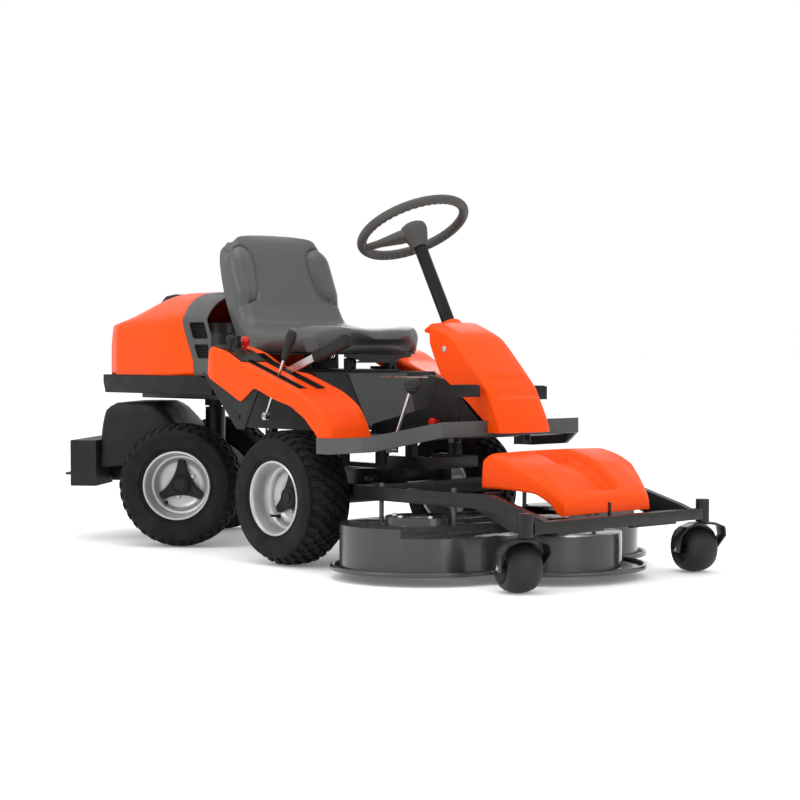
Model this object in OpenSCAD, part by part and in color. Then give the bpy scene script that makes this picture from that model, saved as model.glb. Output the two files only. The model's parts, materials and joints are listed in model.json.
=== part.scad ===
// Riding mower with an articulated rear carriage and a front cutting deck.
// Millimetres. +X is forward, +Y is the driver's left, +Z is up, and Z = 0 is the ground.
// The modules are drawn about the front axle and moved back by front_axle_x.

/* [Chassis] */
// Front axle to rear axle, running straight
wheelbase = 889; // [860:1:930]
// Rear axle behind the steering pivot
pivot_to_axle = 44; // [30:1:60]
// Turn of the rear carriage at rest, to the left
steer_angle = 40; // [0:1:40]
// Front wheel centre to the middle of the machine
front_track_half = 357.5; // [350:0.5:375]
// Rear wheel centre to the middle of the machine
rear_track_half = 312.5; // [300:0.5:325]
// Half width of the platform and fenders
body_half = 428; // [420:1:520]
// Height of the footwell floor's top face
floor_z = 390; // [388:1:396]
// Top of the rear frame plate, which carries the engine
plate_z = 500; // [496:1:512]

/* [Wheels] */
// Tyre outer radius
tyre_r = 203; // [170:1:205]
// Tyre width
tyre_w = 165; // [138:1:168]
// Rim radius under the tyre bead
rim_r = 112; // [90:1:118]
// Axle shaft radius
axle_r = 12.7; // [10:0.1:15]

/* [Deck] */
// Outer spindles ahead of the front axle
spindle_x = 500; // [490:1:510]
// Outer spindles from the middle
spindle_y = 290; // [284:1:300]
// Middle spindle ahead of the outer ones
nose_ahead = 220; // [210:1:228]
// Blade tip radius
blade_r = 176; // [150:1:180]
// Height of the deck's lower rim above the ground
deck_rim_z = 27; // [22:1:32]
// Deck depth from rim to top
deck_depth = 128; // [118:1:130]
// Deck sheet thickness
deck_wall = 3; // [2:0.5:4]
// Spindle shaft radius
spindle_r = 12.5; // [10:0.5:15]

/* [Casters] */
// Caster tubes ahead of the front axle
caster_x = 983; // [975:1:1000]
// Caster tubes from the middle
caster_y = 370; // [350:1:400]
// Caster wheel radius
caster_r = 72; // [62:1:73]
// Caster wheel width
caster_w = 100; // [80:1:104]
// Swivel axis to caster wheel axle
caster_trail = 50; // [45:1:65]
// Caster heading at rest, positive to the left
caster_turn = -23; // [-45:1:45]
// Caster stem radius
stem_r = 12; // [9:0.5:14]

/* [Driving place] */
// Steering wheel rim radius to the middle of its tube
steer_wheel_r = 165; // [140:1:195]
// Steering wheel tube radius
steer_tube_r = 15; // [12:0.5:17]
// Lean of the steering column from upright, to the rear
column_lean = 28.5; // [24:0.5:32]
// Height of the steering wheel's middle
steer_wheel_z = 1020; // [1005:1:1060]
// Steering shaft radius
shaft_r = 11; // [8:0.5:12]
// Seat width
seat_w = 500; // [420:1:510]
// Seat back top height
seat_top_z = 1026; // [990:1:1060]

/* [Fits] */
// Radial running clearance of shafts and pins
run_fit = 0.05; // [0.02:0.01:0.1]
// Gap between curved faces of different bodies
air = 0.4; // [0.3:0.1:1]

/* [Hidden] */
$fn = 64;
eps = 0.01;
front_axle_x = 157;
pivot_x = -(wheelbase - pivot_to_axle);
nose_x = spindle_x + nose_ahead;
sheet = 4;

// Hinge pins
pin_r = 6;
rear_pin_r = 22;
arm_pin_x = 60;
arm_pin_z = 222;
arm_pin_r = 10;
arm_pin_y = 120;

// Axle stub past the wheel's middle plane
axle_end = 10;

// Rear plate, tray and hood
plate_t = 20;
rear_plate_x0 = -1080;
tray_top_z = 561.6;
tray_half = 285;
tray_x0 = -1105;
tray_x1 = -490;
hood_top_z = 843;
hood_hinge_x = -1122;
hood_hinge_z = 560;

// Seat and its carrier
seat_hinge_x = -45;
seat_hinge_z = 606;
pedestal_top_z = 577;
pedestal_half = 254;
seat_base_z = 640;

// Deck heights
deck_top_z = deck_rim_z + deck_depth;
nose_drop = 25;
lobe_r = 235;
lobe_rim_r = 262;
nose_r = 210;
nose_rim_r = 280;
dome_r = 105;
dome_h = 20;
blade_z = deck_rim_z + 12;
blade_t = 5;
pulley_r = 58;
pulley_z = deck_top_z + 4;
pulley_h = 12;

// Guide posts that the deck rises and falls on
guide_x = [340, 640];
guide_r = 7;
guide_top = 262;

// Equipment frame
arm_y = 300;
arm_t = 24;
arm_bottom = 210;
arm_top = 250;
bar_z0 = 159;
bar_z1 = 190;
caster_tube_r = 20;
caster_tube_z0 = 151;
caster_tube_z1 = 216;

// Column
column_s = 324;
column_cover_half = 105;

// Steering wheel middle, one column length up and back from the cover's top hole
steer_wheel_x = 307 - column_s * sin(column_lean);

// Control pivots
lift_x = -200;
lift_y = -300;
lift_z = 542;
// Throttle and choke levers across the control panel, and the height of their pin
throttle_y = -398;
choke_y = -340;
panel_pin_x = -245;
panel_pin_z = 608;
panel_pin_r = 3;
height_x = -105;
height_y = -372;
height_z = 445;
pedal_z = 366;

// Moves a piece drawn about the front axle into the machine's frame
module at_axle() { translate([front_axle_x, 0, 0]) children(); }
// Carriage frame: origin on the steering pivot, X forward, Y to the carriage's left
module on_carriage() { at_axle() translate([pivot_x, 0, 0]) rotate([0, 0, steer_angle]) children(); }
// Side profile in X and Z, given thickness from y0 to y1
module side(y0, y1) { translate([0, y1, 0]) rotate([90, 0, 0]) linear_extrude(y1 - y0) children(); }
// Box between two corners
module block(a, b) { translate(a) cube(b - a); }
// Round bar along Y
module y_bar(x, y0, y1, z, r) { translate([x, y0, z]) rotate([-90, 0, 0]) cylinder(h = y1 - y0, r = r); }
// Round bar along Z
module z_bar(x, y, z0, z1, r) { translate([x, y, z0]) cylinder(h = z1 - z0, r = r); }
// Both sides of the middle plane
module both_sides() { children(); mirror([0, 1, 0]) children(); }
// Round rod between two points
module rod(a, b, r) {
    d = b - a;
    l = norm(d);
    translate(a) rotate([0, acos(d[2] / l), atan2(d[1], d[0])]) cylinder(h = l, r = r);
}

// Height of the footwell floor, which ramps up to the front lip
ramp_x0 = 400;
platform_front_x = 578;
ramp_rise = 45;
function ramp(x) = floor_z + ramp_rise * max(0, (x - ramp_x0) / (platform_front_x - ramp_x0));
// Half height available under the floor for a pedal pivot
pivot_drop = 22;
pedal_pin_r = 5;
pedal_sleeve_r = 9;
pedal_half = 11;
floor_t = 8;
forward_pedal_at = [520, -180];
reverse_pedal_at = [385, -300];
brake_pedal_at = [455, 180];
function pedal_pivot_z(x) = ramp(x) - floor_t - pivot_drop;

// Rail sizes
rail_in = 80;
rail_out = 105;
rail_z0 = 233;
rail_z1 = 283;
rail_x1 = 215;
beam_z0 = 290;
beam_z1 = 325;
leg_x0 = -440;
leg_x1 = -405;
plate_half = 140;
boss_r = 36;
boss_z0 = 455;

// Hollow shell with open underside: a side profile, less itself scaled and dropped inside the two cheeks
module skin(y0, y1, middle, k, drop) {
    difference() {
        side(y0, y1) children();
        side(y0 + sheet, y1 - sheet)
            translate([middle[0], middle[1] - drop]) scale(k) translate(-middle) children();
    }
}

// Hinge pins for the equipment frame hang below the rails on pairs of lugs
module arm_hinge() {
    lug = 20;
    lug_z0 = 200;
    block([arm_pin_x - lug, rail_out - 12, lug_z0], [arm_pin_x + lug, rail_out, rail_z0 + eps]);
    block([arm_pin_x - lug, arm_pin_y + 15, lug_z0], [arm_pin_x + lug, arm_pin_y + 27, rail_z1]);
    block([arm_pin_x - lug, rail_out - eps, rail_z1 - 22], [arm_pin_x + lug, arm_pin_y + 27, rail_z1]);
    y_bar(arm_pin_x, rail_out - 12, arm_pin_y + 27, arm_pin_z, arm_pin_r);
}

module main_frame() {
    color("#26282a") at_axle() {
        both_sides() {
            block([leg_x0, rail_in, rail_z0], [rail_x1, rail_out, rail_z1]);
            block([rail_x1 - 65, rail_in, rail_z1 - eps], [rail_x1, rail_out, beam_z1]);
            block([rail_x1 - 65, rail_in, beam_z0], [330, rail_out, beam_z1]);
            block([leg_x0, rail_in, rail_z1 - eps], [leg_x1, rail_out, plate_z - plate_t + eps]);
            block([230, rail_in, beam_z1 - eps], [260, rail_out, floor_z - floor_t]);
            block([-110, rail_in, rail_z1 - eps], [-70, rail_out, 400]);
            arm_hinge();
        }
        block([-300, -rail_out, rail_z1 - eps], [-260, rail_out, 400]);
        block([300, -rail_in - eps, beam_z0], [330, rail_in + eps, beam_z1]);
        difference() {
            union() {
                block([rear_plate_x0, -plate_half, plate_z - plate_t], [leg_x1, plate_half, plate_z]);
                z_bar(pivot_x, 0, boss_z0, plate_z - plate_t + eps, boss_r);
            }
            z_bar(pivot_x, 0, boss_z0 - 1, plate_z + 1, rear_pin_r + run_fit);
        }
    }
}

module front_axle() {
    color("#2b2d2f") at_axle() {
        tube_r = 30;
        tube_half = front_track_half - tyre_w / 2 - 45;
        y_bar(0, -tube_half, tube_half, tyre_r, tube_r);
        y_bar(0, -front_track_half - axle_end, front_track_half + axle_end, tyre_r, axle_r);
        both_sides() block([-tube_r, rail_in, tyre_r], [tube_r, rail_out, rail_z0]);
    }
}

// Plan outline of the platform, drawn in by a margin
module platform_plan(margin) {
    half = body_half - margin;
    front = platform_front_x - margin;
    inner = 262;
    nose_half = 285 - margin * 0.6;
    back = -55 + margin;
    polygon([[back, -inner + margin], [150, -inner + margin], [197 + margin, -half], [400, -half],
        [front, -nose_half], [front, nose_half], [400, half], [197 + margin, half],
        [150, inner - margin], [back, inner - margin]]);
}

// Bracket under the floor with the pin that a pedal turns on
module pedal_bracket(at) {
    z = pedal_pivot_z(at[0]);
    for (s = [-1, 1]) {
        y = at[1] + s * (pedal_half + 3);
        block([at[0] - 10, y - 2, z - 10], [at[0] + 10, y + 2, ramp(at[0]) - floor_t / 2]);
    }
    y_bar(at[0], at[1] - pedal_half - 4, at[1] + pedal_half + 4, z, pedal_pin_r);
}

module platform() {
    strip = 8;
    color("#3c3f42") at_axle() {
        difference() {
            intersection() {
                linear_extrude(floor_z + 100) platform_plan(0);
                side(-body_half, body_half) polygon([[-55, floor_z - floor_t], [ramp_x0, floor_z - floor_t],
                    [platform_front_x, ramp(platform_front_x) - floor_t],
                    [platform_front_x, ramp(platform_front_x)], [ramp_x0, floor_z], [-55, floor_z]]);
            }
            for (p = [forward_pedal_at, reverse_pedal_at, brake_pedal_at])
                block([p[0] - 14, p[1] - 9, floor_z - 60], [p[0] + 36, p[1] + 9, floor_z + 60]);
        }
        // Deep lip along the outer edge
        intersection() {
            difference() {
                linear_extrude(floor_z + 100) platform_plan(0);
                translate([0, 0, -1]) linear_extrude(floor_z + 102) platform_plan(strip);
            }
            side(-body_half, body_half) polygon([[198, floor_z - 46], [258, floor_z - 46], [418, floor_z - 34],
                [platform_front_x, floor_z + 9], [platform_front_x, floor_z + 53], [400, floor_z + 6],
                [256, floor_z], [198, floor_z]]);
        }
        for (p = [forward_pedal_at, reverse_pedal_at, brake_pedal_at]) pedal_bracket(p);
    }
}

tunnel_half = 104;
module tunnel() {
    color("#1f2123") at_axle() difference() {
        side(-tunnel_half, tunnel_half) polygon([[72, floor_z], [82, floor_z + 30], [335, floor_z + 88],
            [374, 566], [392, 560], [470, 505], [555, ramp(555)], [ramp_x0, floor_z]]);
        side(-tunnel_half + sheet, tunnel_half - sheet) polygon([[80, floor_z - 1], [88, floor_z + 25],
            [338, floor_z + 83], [378, 560], [390, 555], [466, 500], [540, ramp(540) - 1],
            [ramp_x0, floor_z - 1]]);
        // Hole for the brake lock button
        translate([370, -tunnel_half - 1, floor_z + 44]) rotate([-90, 0, 0]) cylinder(h = sheet + 2, r = 7 + air);
    }
}

pedestal_x0 = -398;
module seat_pedestal() {
    color("#34373a") at_axle() {
        difference() {
            side(-pedestal_half, pedestal_half) polygon([[pedestal_x0, 400], [67, 400], [-13, pedestal_top_z],
                [pedestal_x0, pedestal_top_z]]);
            side(-pedestal_half + sheet, pedestal_half - sheet) polygon([[pedestal_x0 + sheet, 404],
                [60, 404], [-16, pedestal_top_z - sheet], [pedestal_x0 + sheet, pedestal_top_z - sheet]]);
        }
        // Two seat rails on top
        both_sides() block([-330, 100, pedestal_top_z - eps], [-30, 112, pedestal_top_z + 8]);
    }
}

// Side profile of a front fender, above the tyre
module fender_profile() {
    polygon([[252, floor_z], [236, 425], [205, 462], [160, 494], [104, 521], [-171, 609], [-236, 640],
        [-311, 658], [-345, 654], [-362, 577], [-165, 490], [-95, 530], [-5, 500], [75, 480],
        [140, 445], [190, 402], [196, floor_z]]);
}
fender_in = pedestal_half + 1;
fender_middle = [-60, 560];
module fender_shell() { skin(-body_half + 4, -fender_in, fender_middle, 0.97, 5) fender_profile(); }

// Slots that the throttle and the choke move in
module panel_slots() {
    for (y = [throttle_y, choke_y]) block([panel_pin_x - 30, y - 6, 600], [panel_pin_x + 30, y + 6, 700]);
}

module right_fender() {
    lever_wall = 6;
    color("#ff5f28") at_axle() {
        difference() {
            fender_shell();
            // Slot for the lift lever
            block([-224, lift_y - 15, 530], [70, lift_y + 15, 700]);
            // Slot for the cutting height lever
            block([-178, height_y - 11, 505], [60, height_y + 11, 700]);
            // Slots for the throttle and the choke, and the hole for the ignition switch
            z_bar(key_at[0], key_at[1], 600, 700, key_r + run_fit);
            panel_slots();
        }
        // Pin of the lift lever, on the inner cheek
        y_bar(lift_x, lift_y - 18, -fender_in - eps, lift_z, pin_r);
        // Hanger and pin of the height lever
        block([height_x - 14, height_y - 11 - lever_wall, height_z - 14],
            [height_x + 14, height_y - 11, 583]);
        y_bar(height_x, height_y - 11 - eps, height_y + 9, height_z, pin_r);
        // Pin shared by the throttle and the choke
        y_bar(panel_pin_x, throttle_y - 8, -fender_in - eps, panel_pin_z, panel_pin_r);
    }
}

module left_fender() {
    color("#ff5f28") at_axle() difference() {
        mirror([0, 1, 0]) fender_shell();
        // Hole for the fuel filler
        z_bar(-250, 340, 600, 700, 26);
    }
}

// Dark V-shaped covers below the rear end of each fender
module fender_lower_covers() {
    color("#3a3d40") at_axle() both_sides() difference() {
        side(-body_half + 9, -body_half + 15) polygon([[-362, 576.8], [-165, 489.8], [-95, 529.8], [-84, 525],
            [-152, 404], [-188, 404]]);
        translate([-170, -body_half, 442]) rotate([-90, 0, 0]) cylinder(h = 30, r = 10);
    }
}

module control_panel() {
    color("#1c1d1f") at_axle() difference() {
        side(-412, -314) polygon([[-171, 609.5], [-236, 640.5], [-311, 658.5], [-311, 661], [-236, 643.5],
            [-171, 612.5]]);
        z_bar(key_at[0], key_at[1], 600, 700, key_r + run_fit);
        panel_slots();
        block([-224, lift_y - 15, 530], [70, lift_y + 15, 700]);
        block([-178, height_y - 11, 505], [60, height_y + 11, 700]);
    }
}

module column_profile() {
    polygon([[384, 573], [318, 697], [292, 716], [335, 729], [435, 690], [572, 552], [618, 465],
        [640, 407], [platform_front_x + 0.5, 407], [platform_front_x + 0.5, 452], [560, 442], [472, 512], [394, 567]]);
}
module column_cover() {
    color("#ff5f28") at_axle() difference() {
        skin(-column_cover_half, column_cover_half, [470, 590], 0.965, 9) column_profile();
        column_axis() translate([0, 0, -column_s - 120]) cylinder(h = 160, r = 26);
        y_bar(400, -column_cover_half - 1, column_cover_half + 1, 649, 9 + air);
    }
}

// Frame on the steering wheel's middle, Z up along the column
module column_axis() { translate([steer_wheel_x, 0, steer_wheel_z]) rotate([0, -column_lean, 0]) children(); }

module steering_column() {
    color("#232527") at_axle() column_axis() difference() {
        translate([0, 0, -506]) cylinder(h = 435, r = 20);
        translate([0, 0, -507]) cylinder(h = 448, r = shaft_r + run_fit);
    }
}

engine_x = -845;
tray_t = 4;
module engine() {
    base = plate_z + tray_t;
    color("#4b4e51") at_axle() {
        // Crankcase, fan housing and recoil cover
        block([engine_x - 130, -110, base], [engine_x + 110, 110, base + 120]);
        z_bar(engine_x, 0, base + 120, base + 200, 120);
        z_bar(engine_x, 0, base + 200, base + 235, 75);
        // Cylinder with its fins, and the cylinder head
        for (i = [0:5]) block([engine_x + 110 + i * 12, -55, base + 20], [engine_x + 116 + i * 12, 55, base + 130]);
        block([engine_x + 109, -38, base + 35], [engine_x + 180, 38, base + 115]);
        block([engine_x + 180, -50, base + 28], [engine_x + 205, 50, base + 122]);
    }
    // Silencer beside the crankcase, on its flange
    color("#6a6c6e") at_axle() {
        block([engine_x - 90, 110, base + 40], [engine_x - 40, 122, base + 90]);
        translate([engine_x - 160, 172, base + 65]) rotate([0, 90, 0]) cylinder(h = 190, r = 50);
    }
}

module battery() {
    color("#1a1b1c") at_axle() {
        block([-250, -90, 404], [-110, 90, 530]);
        for (s = [-1, 1]) z_bar(-180, s * 60, 530, 545, 8);
    }
}

tank_neck_r = 22;
tank_neck_z = 672;
module fuel_tank() {
    color("#2a2b2c") at_axle() difference() {
        union() {
            block([-335, fender_in + sheet + 0.3, 560], [-165, body_half - 17, 592]);
            z_bar(-250, 340, 591, tank_neck_z, tank_neck_r);
        }
        z_bar(-250, 340, 575, tank_neck_z + 1, tank_neck_r - 4);
    }
}

module fuel_cap() {
    color("#17181a") at_axle() difference() {
        z_bar(-250, 340, tank_neck_z - 18, tank_neck_z + 10, 30);
        z_bar(-250, 340, tank_neck_z - 19, tank_neck_z + 0.2, tank_neck_r + run_fit);
    }
}

hinge_lug_y = 180;
module hood_tray() {
    color("#222426") at_axle() {
        difference() {
            union() {
                block([tray_x0 + 20, -tray_half + 20, plate_z], [tray_x1, tray_half - 20, plate_z + tray_t]);
                side(-tray_half, tray_half) polygon([[tray_x0, 537], [tray_x0 + 12, plate_z],
                    [tray_x1, plate_z], [tray_x1, 545], [-559, tray_top_z], [tray_x0, tray_top_z]]);
            }
            block([tray_x0 + 20, -tray_half + sheet, plate_z + tray_t], [tray_x1 - 5, tray_half - sheet, 600]);
        }
        // Hinge lugs with the hood's pin at the rear
        both_sides() {
            for (y = [hinge_lug_y - 16, hinge_lug_y + 10]) side(y, y + 6) polygon([[hood_hinge_x - 9, 545],
                [hood_hinge_x - 9, 568], [hood_hinge_x + 10, 568], [hood_hinge_x + 12, tray_top_z - 1],
                [tray_x0 + 6, tray_top_z - 1], [tray_x0 + 6, 538]]);
            y_bar(hood_hinge_x, hinge_lug_y - 16, hinge_lug_y + 16, hood_hinge_z, 4);
        }
    }
}

module chassis_fasteners() {
    color("silver") at_axle() {
        both_sides() for (z = [300, 345, 390, 435])
            translate([(leg_x0 + leg_x1) / 2, rail_out, z]) rotate([-90, 0, 0]) cylinder(h = 6, r = 8, $fn = 6);
        both_sides() for (x = [-380, -340])
            translate([x, rail_out, (rail_z0 + rail_z1) / 2]) rotate([-90, 0, 0])
                cylinder(h = 6, r = 8, $fn = 6);
        // Round screw in each side of the column cover
        both_sides() translate([400, column_cover_half - sheet, 649]) rotate([-90, 0, 0])
            cylinder(h = sheet + 3, r = 9);
    }
}

// Rounded block of the hood: widest at the side crease, crowned on top
hood_z0 = tray_top_z + 0.4;
hood_x0 = -1108;
module hood_form(grow) {
    $fn = 32;
    half = tray_half + 5 - grow;
    top = hood_top_z - grow;
    x0 = hood_x0 + grow;
    hull() {
        for (s = [-1, 1]) {
            translate([x0 + 8, s * (half - 35), hood_z0]) cylinder(h = 10, r = 8);
            translate([x0 + 25, s * (half - 45), 662]) sphere(r = 25);
            translate([x0 + 75, s * (half - 90), top - 60]) sphere(r = 40);
            translate([-660 - grow, s * (half - 40), 690]) sphere(r = 40);
            translate([-690 - grow, s * (half - 110), top - 58]) sphere(r = 40);
            translate([-575 - grow, s * (half - 10), hood_z0]) cylinder(h = 10, r = 8);
        }
        translate([x0 + 20, 0, top - 90]) sphere(r = 30);
        translate([-760, 0, top - 40]) sphere(r = 40);
    }
}
// Side profile of the grille, in front of the slanted seam with the hood
seam_gap = 0.6;
module grille_zone(back) {
    side(-400, 400) polygon([[-601 - back, 500], [-606 - back, 570], [-650 - back, 650], [-700 - back, 745],
        [-800 - back, 860], [-400, 900], [-400, 500]]);
}
module hood_shell() {
    knuckle_r = 9;
    color("#ff5f28") at_axle() {
        difference() {
            hood_form(0);
            translate([0, 0, -3]) hood_form(sheet);
            translate([0, 0, -9]) hood_form(sheet);
            grille_zone(0);
            // Slot for the handle
            block([handle_x - handle_t - air, -handle_half - air, 700],
                [handle_x + handle_t + air, handle_half + air, 900]);
        }
        both_sides() difference() {
            union() {
                y_bar(hood_hinge_x, hinge_lug_y - 9, hinge_lug_y + 9, hood_hinge_z, knuckle_r);
                block([hood_hinge_x, hinge_lug_y - 9, hood_z0 + 1], [hood_x0 + 14, hinge_lug_y + 9, hood_z0 + 7]);
            }
            y_bar(hood_hinge_x, hinge_lug_y - 10, hinge_lug_y + 10, hood_hinge_z, 4 + run_fit);
        }
    }
}

// Frame of the air grille, carried by the hood in front of the seam, with mesh windows
module hood_grille() {
    color("#2d3033") at_axle() difference() {
        intersection() {
            hood_form(0);
            difference() {
                grille_zone(-seam_gap);
                block([-900, -400, 400], [-400, 400, hood_z0]);
            }
        }
        translate([0, 0, -3]) hood_form(sheet);
        translate([0, 0, -9]) hood_form(sheet);
        both_sides() for (r = [0, 1])
            translate([-648 - r * 22, 0, 655 + r * 62]) block([0, 200, 0], [52 - r * 8, 300, 44 - r * 4]);
    }
}

handle_x = -1040;
handle_half = 70;
handle_t = 8;
module hood_handle() {
    color("#2b2d30") at_axle()
        block([handle_x - handle_t, -handle_half, 786], [handle_x + handle_t, handle_half, 846]);
}

module steering_wheel() {
    spoke_turn = 42;
    color("#3b3d40") at_axle() column_axis() {
        rotate_extrude() translate([steer_wheel_r, 0]) circle(r = steer_tube_r, $fn = 32);
        rotate_extrude() polygon([[0, -70], [26, -70], [34, -40], [40, -12], [34, 4], [0, 10]]);
        for (s = [-1, 1]) rotate([0, 0, 180 + s * spoke_turn])
            translate([30, -16, -16]) cube([steer_wheel_r - 30, 32, 14]);
        // Shaft down inside the column
        translate([0, 0, -500]) cylinder(h = 432, r = shaft_r);
    }
}

seat_half = seat_w / 2;
module seat_bracket() {
    slide_gap = 0.5;
    base = pedestal_top_z + slide_gap;
    color("#232527") at_axle() {
        // Base plate between the rails, and two hinge ears at the front
        difference() {
            union() {
                block([-340, -98, base], [-25, 98, base + 8]);
                both_sides() block([seat_hinge_x - 14, 70, base + 8 - eps], [seat_hinge_x + 14, 78, seat_hinge_z + 14]);
                both_sides() block([seat_hinge_x - 14, 92, base + 8 - eps], [seat_hinge_x + 14, 98, seat_hinge_z + 14]);
            }
            both_sides() y_bar(seat_hinge_x, 60, 100, seat_hinge_z, pin_r + run_fit);
        }
        // Rubber rest for the rear of the seat
        block([-320, -40, base + 8], [-280, 40, seat_base_z - 8.3]);
    }
}

module seat_pan() {
    color("#2a2c2e") at_axle() {
        block([-350, -170, seat_base_z - 8], [-20, 170, seat_base_z - 0.4]);
        both_sides() {
            block([seat_hinge_x - 12, 80, seat_hinge_z - 12], [seat_hinge_x + 12, 90, seat_base_z - 8 + eps]);
            y_bar(seat_hinge_x, 70, 98, seat_hinge_z, pin_r);
        }
    }
}

// One-piece padded bucket seat
module seat_cushion() {
    corner = 90;
    color("#35373a") at_axle() intersection() {
        side(-seat_half, seat_half) polygon([[58, 662], [68, 690], [58, 714], [20, 722], [-200, 706],
            [-355, 718], [-402, 750], [-440, 830], [-500, seat_top_z - 25], [-530, seat_top_z],
            [-582, seat_top_z], [-604, seat_top_z - 30], [-530, 800], [-470, 706], [-400, 655],
            [-340, seat_base_z], [10, seat_base_z]]);
        // Rounded outline seen from the front
        translate([-700, 0, 0]) rotate([90, 0, 90]) linear_extrude(900) hull() {
            for (s = [-1, 1]) {
                translate([s * (seat_half - corner), seat_top_z - corner]) circle(r = corner);
                translate([s * (seat_half - 30), seat_base_z + 30]) circle(r = 30);
            }
        }
    }
}

// ---------------------------------------------------------------- rear carriage
frame_half = 60;
rear_axle_x = -pivot_to_axle;
module rear_frame() {
    color("#26282a") on_carriage() {
        // Pivot post, standing on the frame box, up through the chassis plate
        z_bar(0, 0, 250 - eps, boss_z0 - 5, 34);
        z_bar(0, 0, boss_z0 - 6, plate_z - 1, rear_pin_r);
        difference() {
            block([-350, -frame_half, 205], [60, frame_half, 250]);
            // Recess for the gearbox
            block([rear_axle_x - 71, -frame_half - 1, 200], [rear_axle_x + 71, frame_half + 1, 240]);
        }
        // Hitch plate
        difference() {
            block([-520, -45, 214], [-340, 45, 222]);
            z_bar(-495, 0, 210, 230, 9);
        }
        block([-350 - eps, -45, 205], [-340, 45, 222]);
    }
}

module rear_transaxle() {
    color("#5a5d60") on_carriage() {
        block([rear_axle_x - 70, -110, tyre_r - 60], [rear_axle_x + 70, 110, 239.5]);
        y_bar(rear_axle_x, -215, 215, tyre_r, 28);
        y_bar(rear_axle_x, -rear_track_half - axle_end, rear_track_half + axle_end, tyre_r, axle_r);
    }
}

// Plastic cover over the rear weight, behind and between the wheels
module rear_cover() {
    half = 212;
    color("#3a3c3f") on_carriage() difference() {
        side(-half, half) polygon([[-352, 250.4], [-352, 330], [-330, 452], [-300, 466], [-170, 466],
            [-120, 430], [-78, 380], [-78, 250.4]]);
        side(-half + sheet, half - sheet) polygon([[-348, 250], [-348, 329], [-327, 448], [-299, 462],
            [-172, 462], [-123, 428], [-82, 377], [-82, 250]]);
    }
}

module rear_bumper() {
    color("#2e3033") on_carriage() {
        block([-440, -250, 262], [-352.5, 250, 343]);
        block([-440, -250, 190], [-352.5, -46, 262 + eps]);
        block([-440, 46, 190], [-352.5, 250, 262 + eps]);
    }
}

// ---------------------------------------------------------------- wheels
rim_half = 70;
// Local wheel frame: the axle along Z, the outer side upwards
module tyre_shape() {
    tread_r = tyre_r;
    w = tyre_w / 2;
    rotate_extrude($fn = 96) polygon([[rim_r, -w + 8], [rim_r + 30, -w], [tread_r - 38, -w + 2],
        [tread_r - 12, -w + 14], [tread_r, -w + 34], [tread_r, w - 34], [tread_r - 12, w - 14],
        [tread_r - 38, w - 2], [rim_r + 30, w - 3], [rim_r, w - 14]]);
}
// Dished rim: hub disc set inboard, with a rolled edge on the outer side
module rim_shape() {
    w = tyre_w / 2;
    disc = -18;
    difference() {
        rotate_extrude($fn = 96) polygon([[0, disc - 14], [40, disc - 14], [92, disc - 6], [rim_r - 8, -w + 2],
            [rim_r - 0.01, -w + 2], [rim_r - 0.01, w - 15], [rim_r - 3, w - 12], [rim_r - 8, w - 16],
            [rim_r - 14, disc + 34], [92, disc + 2], [40, disc - 4], [30, disc + 6], [0, disc + 6]]);
        translate([0, 0, -w]) cylinder(h = tyre_w, r = axle_r + run_fit);
    }
}
// Three-armed hub cap
module cap_shape() {
    disc = -18;
    difference() {
        union() {
            translate([0, 0, disc + 6]) cylinder(h = 42, r = 30);
            for (a = [90, 210, 330]) rotate([0, 0, a]) {
                translate([20, -15, disc + 8]) cube([66, 30, 12]);
            }
        }
        translate([0, 0, disc - 1]) cylinder(h = 38, r = axle_r + run_fit + 1);
    }
}
// Place a wheel piece: s = -1 for the right, 1 for the left
module front_wheel(s) { at_axle() translate([0, s * front_track_half, tyre_r]) rotate([-s * 90, 0, 0]) children(); }
module rear_wheel(s) {
    on_carriage() translate([rear_axle_x, s * rear_track_half, tyre_r]) rotate([-s * 90, 0, 0]) children();
}
module tyre_front_right() { color("#1b1c1d") front_wheel(-1) tyre_shape(); }
module tyre_front_left() { color("#1b1c1d") front_wheel(1) tyre_shape(); }
module tyre_rear_right() { color("#1b1c1d") rear_wheel(-1) tyre_shape(); }
module tyre_rear_left() { color("#1b1c1d") rear_wheel(1) tyre_shape(); }
module rim_front_right() { color("#c9ccce") front_wheel(-1) rim_shape(); }
module rim_front_left() { color("#c9ccce") front_wheel(1) rim_shape(); }
module rim_rear_right() { color("#c9ccce") rear_wheel(-1) rim_shape(); }
module rim_rear_left() { color("#c9ccce") rear_wheel(1) rim_shape(); }
module cap_front_right() { color("#2c2e30") front_wheel(-1) cap_shape(); }
module cap_front_left() { color("#2c2e30") front_wheel(1) cap_shape(); }
module cap_rear_right() { color("#2c2e30") rear_wheel(-1) cap_shape(); }
module cap_rear_left() { color("#2c2e30") rear_wheel(1) cap_shape(); }

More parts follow.
